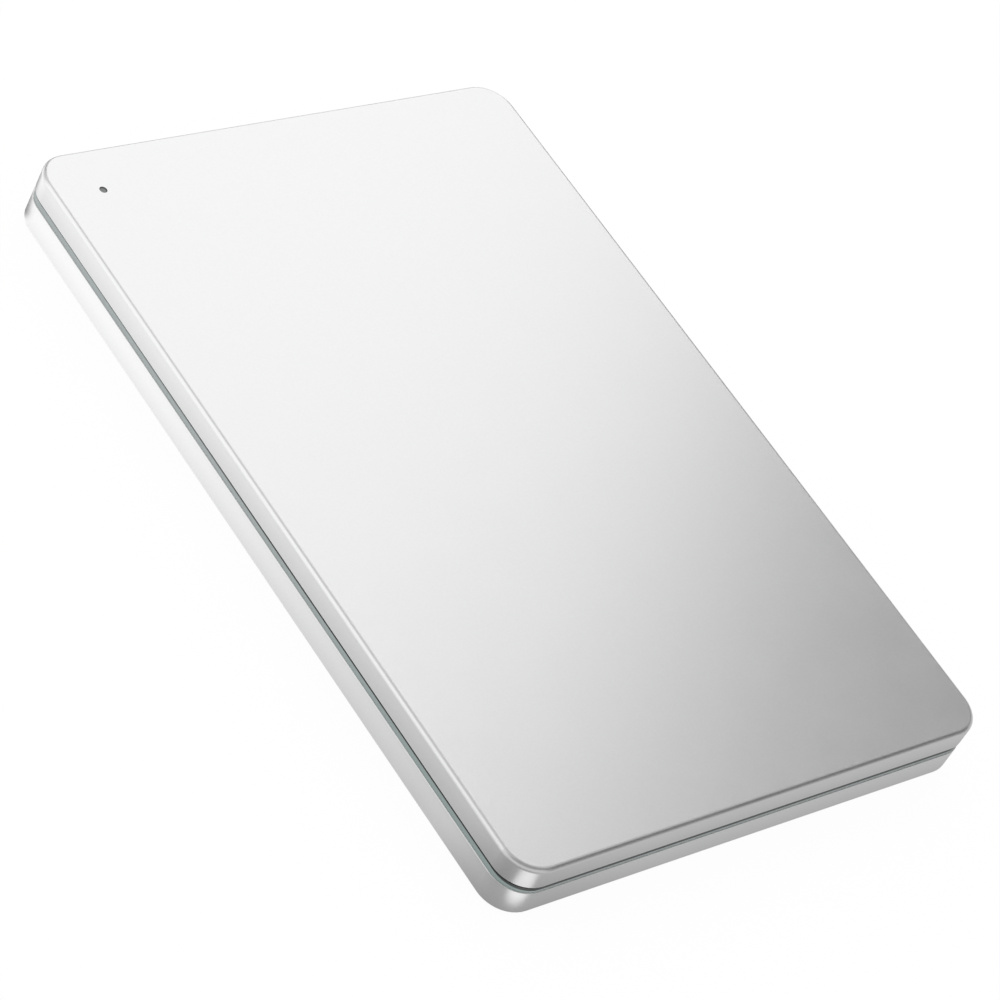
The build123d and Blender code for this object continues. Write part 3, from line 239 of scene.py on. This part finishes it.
def moulded(name, low, high, rough, spot, depth, coat=0.0):
    """Moulded plastic or rubber: a spark-eroded grain and slight, much wider clouds."""
    material, shader, place = new_finish(name)
    grain = speckle(place, spot, detail=3.0)
    cloud = speckle(place, 14 * spot)
    colour = blended(spread(0.75 * grain + 0.25 * cloud), low, high)
    bump = relief(grain, strength=0.25, depth=depth)
    feed(shader, {"Base Color": colour, "Roughness": rough + 0.12 * (grain - 0.5), "Normal": bump})
    feed(shader, {"Coat Weight": coat, "Coat Roughness": 0.2})
    return material


def metal(name, low, high, rough, streak, spot, depth):
    """Bare or plated metal: marks stretched along an axis, and much wider patches of wear."""
    material, shader, place = new_finish(name)
    marks = speckle(stretched(place, *streak), spot, detail=4.0)
    wear = speckle(place, 20 * spot)
    colour = blended(spread(0.65 * marks + 0.35 * wear), low, high)
    feed(shader, {"Metallic": 1.0, "Base Color": colour, "Roughness": rough + 0.16 * (marks - 0.5)})
    feed(shader, {"Normal": relief(marks, strength=0.2, depth=depth)})
    return material


def band_plastic():
    """Grey-green moulding, with painted shade on the left towards the front. A painted shadow lies in the
    groove over its rib and fades out towards the back."""
    material, shader, place = new_finish("band_plastic")
    grain = speckle(place, 0.12, detail=3.0)
    cloud = speckle(place, 3.0)
    face_x, face_y = facing(place)[:2]
    y, z = axes(place)[1:]
    rib_height = 0.79
    rib_top = in_millimetres(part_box("bottom_cover"))[1].z + rib_height
    end_wall_drop = 0.36
    # Painted shadow in the groove over the rib: from just under the rib's top, reaching lower on the end
    # walls, fading out towards the back
    shadow_foot = sharpened(z + end_wall_drop * abs(face_y), rib_top - 0.16, rib_top - 0.1)
    shadow_head = sharpened(z, rib_top + 0.3, rib_top + 0.4)
    shadow_fade = sharpened(y, -10, 45)
    groove_painted_shadow = shadow_foot * (1 - shadow_head) * (1 - shadow_fade)
    # Painted shade: the moulding is darker on its left side towards the front
    to_the_left = sharpened(-1 * face_x, 0.1, 0.8)
    to_the_back = sharpened(y, -52, 10)
    left_front_painted_shade = to_the_left * (1 - to_the_back)
    low = blended(left_front_painted_shade, tint(0.31, 0.35, 0.345), tint(0.225, 0.285, 0.273))
    high = blended(left_front_painted_shade, tint(0.375, 0.415, 0.41), tint(0.28, 0.345, 0.333))
    moulding = blended(0.5 * grain + 0.5 * cloud, low, high)
    # The groove's painted shadow is near black
    feed(shader, {"Base Color": blended(groove_painted_shadow, moulding, tint(0.045, 0.05, 0.05))})
    feed(shader, {"Roughness": 0.34 + 0.1 * grain, "Normal": relief(grain, strength=0.25, depth=0.01)})
    return material


# Finishes inside the case

def foam_tape():
    """Closed-cell foam: small round cells with pale walls."""
    material, shader, place = new_finish("adhesive_foam")
    cell = dimples(place, 0.35)
    colour = blended(sharpened(cell, 0.1, 0.7), tint(0.07, 0.07, 0.075), tint(0.19, 0.19, 0.2))
    bump = relief(cell, strength=0.5, depth=0.08)
    feed(shader, {"Base Color": colour, "Roughness": 0.86 + 0.1 * cell, "Normal": bump})
    return material


def cast_aluminium():
    """Die casting: dull cast sides, and level faces turned bright about the spindle."""
    material, shader, place = new_finish("cast_aluminium")
    cast = speckle(place, 0.5, detail=4.0)
    turned = speckle(joined(radius_about(place, spindle), 0.0, 0.0), 0.12)
    side = steepness(place) > 0.3
    level = blended(turned, tint(0.58, 0.59, 0.6), tint(0.76, 0.77, 0.78))
    rough_cast = blended(cast, tint(0.34, 0.35, 0.36), tint(0.55, 0.56, 0.57))
    feed(shader, {"Metallic": 1.0, "Base Color": blended(side, level, rough_cast)})
    feed(shader, {"Roughness": 0.32 + 0.22 * side + 0.12 * cast})
    feed(shader, {"Normal": relief(side * cast + 0.3 * turned, strength=0.3, depth=0.03)})
    return material


def turned_aluminium(name, centre):
    """Turned or milled aluminium: fine rings about an axis."""
    material, shader, place = new_finish(name)
    ring = speckle(joined(radius_about(place, centre), axes(place)[2], 0.0), 0.09, detail=3.0)
    colour = blended(spread(ring), tint(0.66, 0.67, 0.68), tint(0.84, 0.85, 0.86))
    feed(shader, {"Metallic": 1.0, "Base Color": colour, "Roughness": 0.2 + 0.15 * ring})
    feed(shader, {"Normal": relief(ring, strength=0.2, depth=0.01)})
    return material


def stacked_laminations():
    """Punched electrical steel: thin coated sheets in a stack."""
    material, shader, place = new_finish("core_steel")
    sheet_thickness = 0.1
    seam_width = 0.022
    sheet = axes(place)[2] % sheet_thickness
    seam = (sheet < seam_width) * (steepness(place) > 0.5)
    stain = speckle(place, 0.6, detail=3.0)
    steel = blended(stain, tint(0.2, 0.2, 0.215), tint(0.34, 0.34, 0.35))
    feed(shader, {"Metallic": 1.0, "Base Color": blended(seam, steel, tint(0.05, 0.05, 0.05))})
    feed(shader, {"Roughness": 0.38 + 0.2 * stain, "Normal": relief(1 - seam, strength=0.5, depth=0.02)})
    return material


def sintered_bronze():
    """Pressed and fired bronze: open pores between grains."""
    material, shader, place = new_finish("bearing_bronze")
    pore = sharpened(dimples(place, 0.14), 0.05, 0.4)
    colour = blended(pore, tint(0.22, 0.14, 0.07), tint(0.68, 0.5, 0.28))
    feed(shader, {"Metallic": 1.0, "Base Color": colour, "Roughness": 0.5 - 0.2 * pore})
    feed(shader, {"Normal": relief(pore, strength=0.4, depth=0.02)})
    return material


def wound_copper(name, across):
    """Enamelled wire laid side by side, with painted shade between the turns and painted light along their
    crowns: across gives the distance over the turns.
    """
    material, shader, place = new_finish(name)
    wire = 0.13
    turn = abs((across(place) % wire) - wire / 2) / (wire / 2)
    crown_and_painted_shade = 1 - turn * turn
    gloss = speckle(place, 0.8)
    # Painted shade and highlight: each turn is dark at its sides and bright along its crown
    colour = blended(crown_and_painted_shade * (0.7 + 0.4 * gloss), tint(0.13, 0.04, 0.015), tint(0.72, 0.33, 0.15))
    feed(shader, {"Metallic": 1.0, "Base Color": colour, "Roughness": 0.26 + 0.16 * gloss})
    feed(shader, {"Normal": relief(crown_and_painted_shade, strength=0.7, depth=0.05)})
    feed(shader, {"Coat Weight": 0.5, "Coat Roughness": 0.12})
    return material


def round_the_spindle(place):
    return radius_about(place, spindle)


def round_the_coil(place):
    """Distance along the voice coil's middle arc."""
    coil_radius = 13.0
    return coil_radius * angle_about(place, pivot)


def recording_disc():
    """Polished recording film: a mirror with faint tracks and a duller edge."""
    material, shader, place = new_finish("disc_mirror")
    radius = radius_about(place, spindle)
    track = speckle(joined(radius, 0.0, 0.0), 0.4, detail=5.0)
    low, high = in_millimetres(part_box("disc_platter"))
    rim = (high.x - low.x) / 2
    edge = sharpened(radius, rim - 0.7, rim - 0.2)
    film = blended(track, tint(0.73, 0.73, 0.745), tint(0.83, 0.83, 0.835))
    feed(shader, {"Metallic": 1.0, "Base Color": blended(edge, film, tint(0.6, 0.6, 0.61))})
    feed(shader, {"Roughness": 0.03 + 0.025 * track + 0.2 * edge})
    return material


def circuit_board(name, track_width):
    """Solder mask over copper tracks, gold vias, and bare glass laminate at the edges."""
    material, shader, place = new_finish(name)
    x, y = axes(place)[:2]
    cut_edge = steepness(place) > 0.5
    lane = 2 * track_width
    run = (speckle(stretched(place, 0.2, 1.0, 0.0), 1.6, detail=1.0) > 0.5) * (y % lane < track_width)
    bus = (speckle(stretched(place, 1.0, 0.2, 0.0), 2.3, detail=1.0) > 0.56) * (x % lane < track_width)
    track = run.maths("MAXIMUM", run, bus) * (1 - cut_edge)
    via_column = 2.7
    via_row = 2.3
    over = x % via_column - via_column / 2
    along = y % via_row - via_row / 2
    square = over * over + along * along
    via_square = 0.1
    drill_square = 0.025
    kept = speckle(place, 3.1, detail=0.0) > 0.48
    via = (square < via_square) * kept * (1 - cut_edge)
    drill = (square < drill_square) * via
    mask = blended(track, tint(0.012, 0.09, 0.045), tint(0.03, 0.19, 0.09))
    weave = speckle(stretched(place, 1.0, 1.0, 6.0), 0.5)
    glass = blended(weave, tint(0.36, 0.34, 0.2), tint(0.5, 0.48, 0.32))
    board = blended(cut_edge, mask, glass)
    board = blended(via, board, gold_plate)
    # Painted shade: the drill holes in the vias are painted near black
    board = blended(drill, board, tint(0.02, 0.02, 0.02))
    feed(shader, {"Base Color": board, "Metallic": via - drill, "Roughness": 0.34 + 0.3 * cut_edge})
    feed(shader, {"Normal": relief(track + via - 2 * drill, strength=0.3, depth=0.03)})
    return material


def moulded_chip(node):
    """Moulded chip: speckled epoxy, a dimple at the first lead, and tinned leads at its foot."""
    material, shader, place = new_finish("chip_epoxy." + node)
    low, high = in_millimetres(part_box(node))
    x, y, z = axes(place)
    grain = speckle(place, 0.12, detail=3.0)
    dimple_inset = 0.9
    dimple_radius = 0.4
    over = x - (low.x + dimple_inset)
    along = y - (high.y - dimple_inset)
    dimple = over * over + along * along < dimple_radius**2
    lead_width = 0.25
    lead_height = 0.25
    on_foot = (z < low.z + lead_height) * (steepness(place) > 0.5)
    lead = ((x + y) % (2 * lead_width) < lead_width) * on_foot
    epoxy = blended(grain, tint(0.022, 0.022, 0.024), tint(0.055, 0.055, 0.06))
    feed(shader, {"Base Color": blended(lead, epoxy, tint(0.66, 0.65, 0.62)), "Metallic": lead})
    feed(shader, {"Roughness": 0.62 - 0.2 * dimple - 0.25 * lead})
    feed(shader, {"Normal": relief(0.25 * grain - dimple + lead, strength=0.4, depth=0.05)})
    return material


def chip_capacitors():
    """Fired ceramic blocks with tinned ends."""
    material, shader, place = new_finish("capacitor_ceramic")
    low, high = in_millimetres(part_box("board_capacitors"))
    body = 1.0
    count = 6
    cap = 0.25
    spacing = (high.x - low.x - body) / (count - 1)
    along = (axes(place)[0] - low.x) % spacing
    tinned = 1 - (along > cap) * (along < body - cap)
    grain = speckle(place, 0.1, detail=3.0)
    ceramic = blended(grain, tint(0.3, 0.21, 0.14), tint(0.45, 0.34, 0.25))
    feed(shader, {"Base Color": blended(tinned, ceramic, tint(0.68, 0.67, 0.64)), "Metallic": tinned})
    feed(shader, {"Roughness": 0.5 - 0.12 * tinned + 0.1 * grain})
    feed(shader, {"Normal": relief(grain, strength=0.2, depth=0.01)})
    return material


def contact_plug():
    """Glass-filled moulding with gold contacts laid along its tongues."""
    material, shader, place = new_finish("plug_plastic")
    low, high = in_millimetres(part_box("drive_plug"))
    x, y = axes(place)[:2]
    glass = speckle(stretched(place, 1.0, 0.25, 1.0), 0.15, detail=3.0)
    contact_pitch = 1.27
    contact_width = 0.62
    tongue_length = 4.6
    tongue_tip = 0.5
    guide = 2.2
    strip = (x % contact_pitch < contact_width) * (y > high.y - tongue_length) * (y < high.y - tongue_tip)
    inside = (x > low.x + guide) * (x < high.x - guide) * (steepness(place) < 0.3)
    gold = strip * inside
    black = blended(glass, black_low, black_high)
    feed(shader, {"Base Color": blended(gold, black, gold_plate), "Metallic": gold})
    feed(shader, {"Roughness": 0.48 - 0.22 * gold + 0.1 * glass})
    feed(shader, {"Normal": relief(0.4 * glass + gold, strength=0.3, depth=0.03)})
    return material


def amber_film(name, track_width):
    """Amber film over copper tracks."""
    material, shader, place = new_finish(name)
    x, y = axes(place)[:2]
    lane = ((x + y) % (2 * track_width) < track_width) * (speckle(place, 4.0, detail=1.0) > 0.42)
    cloud = speckle(place, 1.5, detail=3.0)
    film = blended(cloud, tint(0.44, 0.19, 0.03), tint(0.56, 0.28, 0.07))
    feed(shader, {"Base Color": blended(lane, film, tint(0.6, 0.33, 0.13))})
    feed(shader, {"Roughness": 0.22 + 0.14 * cloud, "Normal": relief(lane, strength=0.25, depth=0.02)})
    feed(shader, {"Coat Weight": 0.3, "Coat Roughness": 0.1})
    return material


def filter_felt():
    """White felt: crossed fine fibres."""
    material, shader, place = new_finish("filter_felt")
    fibre = speckle(stretched(place, 1.0, 0.15, 1.0), 0.12, detail=4.0)
    cross = speckle(stretched(place, 0.15, 1.0, 1.0), 0.12, detail=4.0)
    nap = fibre.maths("MAXIMUM", fibre, cross)
    colour = blended(sharpened(nap, 0.35, 0.75), tint(0.62, 0.62, 0.6), tint(0.88, 0.88, 0.86))
    bump = relief(nap, strength=0.6, depth=0.08)
    feed(shader, {"Base Color": colour, "Roughness": 0.8 + 0.15 * nap, "Normal": bump})
    return material


def indicator_lamp():
    """Small moulded lamp: pale lens over a yellow phosphor middle."""
    material, shader, place = new_finish("lamp_lens")
    grain = speckle(place, 0.1)
    lens = sharpened(radius_about(place, middle("indicator_led")) + 0.1 * grain, 0.2, 0.45)
    colour = blended(lens, tint(0.9, 0.72, 0.16), tint(0.86, 0.85, 0.78))
    feed(shader, {"Base Color": colour, "Roughness": 0.2 + 0.1 * grain, "Coat Weight": 0.4})
    return material


# One finish for each material slot, and others for pieces that have marks of their own

finishes = {
    "band_plastic": band_plastic(),
    "light_pipe_plastic": moulded(
        "light_pipe_plastic", tint(0.1, 0.105, 0.105), tint(0.18, 0.185, 0.185),
        rough=0.2, spot=0.3, depth=0.005, coat=0.6,
    ),
    "adhesive_foam": foam_tape(),
    "black_rubber": moulded(
        "black_rubber", tint(0.02, 0.02, 0.022), tint(0.045, 0.045, 0.05),
        rough=0.72, spot=0.16, depth=0.02,
    ),
    "cast_aluminium": cast_aluminium(),
    "lid_sheet": metal(
        "lid_sheet", tint(0.56, 0.57, 0.58), tint(0.72, 0.73, 0.74),
        rough=0.3, streak=(1.0, 0.02, 1.0), spot=0.12, depth=0.006,
    ),
    "screw_steel": metal(
        "screw_steel", tint(0.42, 0.42, 0.43), tint(0.62, 0.62, 0.63),
        rough=0.3, streak=(1.0, 1.0, 0.3), spot=0.1, depth=0.006,
    ),
    "spring_steel": metal(
        "spring_steel", tint(0.58, 0.58, 0.59), tint(0.74, 0.74, 0.75),
        rough=0.24, streak=(1.0, 0.05, 1.0), spot=0.08, depth=0.003,
    ),
    "ground_steel": metal(
        "ground_steel", tint(0.54, 0.55, 0.56), tint(0.67, 0.68, 0.69),
        rough=0.16, streak=(0.05, 0.05, 1.0), spot=0.06, depth=0.002,
    ),
    "yoke_steel": metal(
        "yoke_steel", tint(0.5, 0.5, 0.49), tint(0.63, 0.63, 0.62),
        rough=0.26, streak=(1.0, 1.0, 1.0), spot=0.25, depth=0.008,
    ),
    "core_steel": stacked_laminations(),
    "bearing_bronze": sintered_bronze(),
    "bonded_magnet": moulded(
        "bonded_magnet", tint(0.05, 0.05, 0.054), tint(0.1, 0.1, 0.105),
        rough=0.6, spot=0.09, depth=0.015,
    ),
    "plated_magnet": metal(
        "plated_magnet", tint(0.62, 0.62, 0.6), tint(0.74, 0.74, 0.72),
        rough=0.12, streak=(1.0, 1.0, 1.0), spot=0.4, depth=0.004,
    ),
    "disc_mirror": recording_disc(),
    "crystal_can": metal(
        "crystal_can", tint(0.56, 0.55, 0.51), tint(0.7, 0.69, 0.65),
        rough=0.22, streak=(1.0, 0.3, 1.0), spot=0.12, depth=0.004,
    ),
    "connector_plastic": moulded(
        "connector_plastic", black_low, black_high,
        rough=0.48, spot=0.15, depth=0.01,
    ),
    "contact_gold": metal(
        "contact_gold", tint(0.75, 0.54, 0.2), tint(0.88, 0.68, 0.3),
        rough=0.2, streak=(1.0, 0.2, 1.0), spot=0.07, depth=0.002,
    ),
    "filter_felt": filter_felt(),
    "ramp_plastic": moulded(
        "ramp_plastic", tint(0.68, 0.66, 0.59), tint(0.8, 0.78, 0.71),
        rough=0.4, spot=0.18, depth=0.008,
    ),
    "lamp_lens": indicator_lamp(),
}
piece_finishes = {
    "top_cover": satin_aluminium("top_aluminium", "top_cover", over_top=-0.3, over_bottom=-0.68),
    "bottom_cover": satin_aluminium("bottom_aluminium", "bottom_cover", over_top=0.06, over_bottom=-0.4),
    "spindle_hub": turned_aluminium("turned_hub", spindle),
    "actuator_arm": turned_aluminium("milled_arm", pivot),
    "stator_coils": wound_copper("stator_wire", round_the_spindle),
    "voice_coil": wound_copper("coil_wire", round_the_coil),
    "bridge_board": circuit_board("bridge_laminate", track_width=0.25),
    "controller_board": circuit_board("controller_laminate", track_width=0.2),
    "board_capacitors": chip_capacitors(),
    "drive_plug": contact_plug(),
    "flex_cable": amber_film("flex_film", track_width=0.2),
    "controller_insulator": amber_film("insulator_film", track_width=0.6),
}
for chip in ("bridge_chip", "controller_chip", "motor_chip", "memory_chip"):
    piece_finishes[chip] = moulded_chip(chip)
head_ceramic = moulded(
    "head_ceramic", tint(0.08, 0.075, 0.07), tint(0.15, 0.14, 0.13),
    rough=0.25, spot=0.05, depth=0.002,
)
for head in ("upper_head", "lower_head"):
    piece_finishes[head] = head_ceramic

for piece in frame["record"]["subparts"]:
    name, slot = piece["node"], piece["material_slot"]
    shape = frame["nodes"][name]
    shape.data.materials.clear()
    shape.data.materials.append(piece_finishes[name] if name in piece_finishes else finishes[slot])


# Studio: a pale floor, three soft panels, a dark card, and a white world that metal reflects in grades

stand_off = 0.45


def flat_sheet(name, width, height):
    """A level rectangle about the origin, in metres."""
    mesh = bpy.data.meshes.new(name)
    x, y = width / 2, height / 2
    mesh.from_pydata([(-x, -y, 0), (x, -y, 0), (x, y, 0), (-x, y, 0)], [], [(0, 1, 2, 3)])
    sheet = bpy.data.objects.new(name, mesh)
    scene.collection.objects.link(sheet)
    return sheet


def turned_to_drive(thing, azimuth, elevation):
    """Stands a thing off from the drive, in a direction in degrees, with its underside to the drive."""
    turn, rise = math.radians(azimuth), math.radians(elevation)
    towards = Vector((math.cos(turn) * math.cos(rise), math.sin(turn) * math.cos(rise), math.sin(rise)))
    thing.location = stand_off * towards
    thing.rotation_euler = towards.to_track_quat("Z", "Y").to_euler()


def floor_in_metal(place):
    """The floor's level in reflections: it falls off to the front, lights up round the near left corner, and
    is dimmed behind the drive and off its right side."""
    low, high = in_millimetres(cad_box)
    x, y = axes(place)[:2]
    from_front, from_back = y - low.y, y - high.y
    from_left, from_right = x - low.x, x - high.x
    outwards = -1 * from_left
    front_rise = 0.22 * sharpened(from_front, 2, 16)
    long_rise = 0.46 * sharpened(y, low.y - 13, high.y - 12)
    edge_rise = 0.03 * sharpened(from_left, -1, 3)
    side_rise = 0.09 * sharpened(from_left, 3, 28)
    beside_fall = 0.23 * sharpened(outwards, 3.2, 4.8)
    distant_rise = 0.17 * sharpened(outwards, 22, 55)
    strip = 1.16 - beside_fall + distant_rise
    level = strip * (0.3 + front_rise + long_rise + edge_rise + side_rise)
    near_corner = Vector((low.x + 0.5, low.y - 5.5, 0))
    glint = 1 - sharpened(radius_about(place, near_corner), 3, 6.5)
    level = level.maths("MAXIMUM", level, glint)
    behind = sharpened(from_back, -2.5, -0.5) * sharpened(from_left - 0.26 * from_back, -2.5, 1.2)
    off_right = sharpened(from_right, -2, 4) * sharpened(from_front, 20, 50)
    return level * (1 - 0.75 * behind) * (1 - 0.42 * off_right)


def pale_floor():
    """A floor that is white to the camera, keeps the shadow, and has its own level in reflections."""
    floor = flat_sheet("floor", 12.0, 12.0)
    material = bpy.data.materials.new("pale_floor")
    material.use_nodes = True
    tree = material.node_tree
    tree.nodes.clear()
    start = Wire(tree)
    to_camera = start.node("ShaderNodeLightPath", {}, {}, "Is Camera Ray")
    to_metal = start.node("ShaderNodeLightPath", {}, {}, "Is Glossy Ray")
    to_clear = start.node("ShaderNodeLightPath", {}, {}, "Is Transmission Ray")
    level = 1 - to_metal * (1 - floor_in_metal(surface_place(tree)))
    paint = start.node("ShaderNodeBsdfDiffuse", {}, {"Color": tint(0.9, 0.9, 0.9)})
    glow = start.node("ShaderNodeEmission", {}, {"Color": tint(1, 1, 1), "Strength": level})
    seen = 0.95 * (to_camera + to_metal + to_clear)
    mixed = start.node("ShaderNodeMixShader", {}, {0: seen, 1: paint, 2: glow})
    feed(tree.nodes.new("ShaderNodeOutputMaterial"), {"Surface": mixed})
    floor.data.materials.append(material)


def soft_panel(name, azimuth, elevation, width, height, level):
    """A panel lamp turned to the drive. Its level is its brightness as seen."""
    lamp = bpy.data.lights.new(name, "AREA")
    lamp.shape = "RECTANGLE"
    lamp.size = width
    lamp.size_y = height
    lamp.energy = level * math.pi * width * height
    panel = bpy.data.objects.new(name, lamp)
    panel.visible_camera = False
    turned_to_drive(panel, azimuth, elevation)
    scene.collection.objects.link(panel)


def dark_card(name, azimuth, elevation, width, height):
    """A black card turned to the drive, which only metal sees."""
    card = flat_sheet(name, width, height)
    card.visible_camera = card.visible_diffuse = card.visible_shadow = card.visible_transmission = False
    turned_to_drive(card, azimuth, elevation)
    material = bpy.data.materials.new("black_card")
    material.use_nodes = True
    feed(material.node_tree.nodes["Principled BSDF"], {"Base Color": tint(0.1, 0.1, 0.1), "Roughness": 0.9})
    card.data.materials.append(material)


def graded_world():
    """White light on everything. Metal reflects it dimmed, less so to the left and low down on the right."""
    world = bpy.data.worlds.new("studio")
    world.use_nodes = True
    to_metal = Wire(world.node_tree).node("ShaderNodeLightPath", {}, {}, "Is Glossy Ray")
    right, back, up = axes(to_metal.node("ShaderNodeTexCoord", {}, {}, "Generated"))
    to_the_left = 1 - sharpened(0.98 * right + 0.21 * back, 0.1, 0.3)
    overhead = sharpened(up, 0.62, 0.8) * (1 - sharpened(back, -0.1, 0.35))
    low_right = (1 - sharpened(up, 0.2, 0.45)) * sharpened(right, 0.85, 0.97)
    low_front = (1 - sharpened(up, 0.05, 0.22)) * sharpened(0.7 * right - 0.7 * back, 0.7, 0.95)
    lift = 0.33 * (to_the_left * (1 - overhead) + low_right) + 0.1 * low_front
    background = world.node_tree.nodes["Background"]
    feed(background, {"Color": tint(1, 1, 1), "Strength": 1 - to_metal * (0.75 - lift)})
    scene.world = world


pale_floor()
soft_panel("back_panel", azimuth=56, elevation=32, width=0.392, height=0.6, level=0.78)
soft_panel("left_panel", azimuth=148, elevation=24, width=0.302, height=0.44, level=0.47)
soft_panel("front_panel", azimuth=-12, elevation=57, width=0.2, height=0.18, level=0.3)
dark_card("front_card", azimuth=-37, elevation=35.5, width=0.3, height=0.25)
graded_world()

camera = bpy.data.objects.new("camera", bpy.data.cameras.new("camera"))
camera.location = (-0.302744, -0.205108, 0.321345)
camera.rotation_euler = (math.radians(44.39085), math.radians(-22.07165), math.radians(-34.67297))
camera.data.lens = 140.192
camera.data.sensor_width = 36.0
camera.data.shift_x = 0.032504
camera.data.shift_y = -0.009707
camera.data.clip_start = 0.01
scene.collection.objects.link(camera)
scene.camera = camera
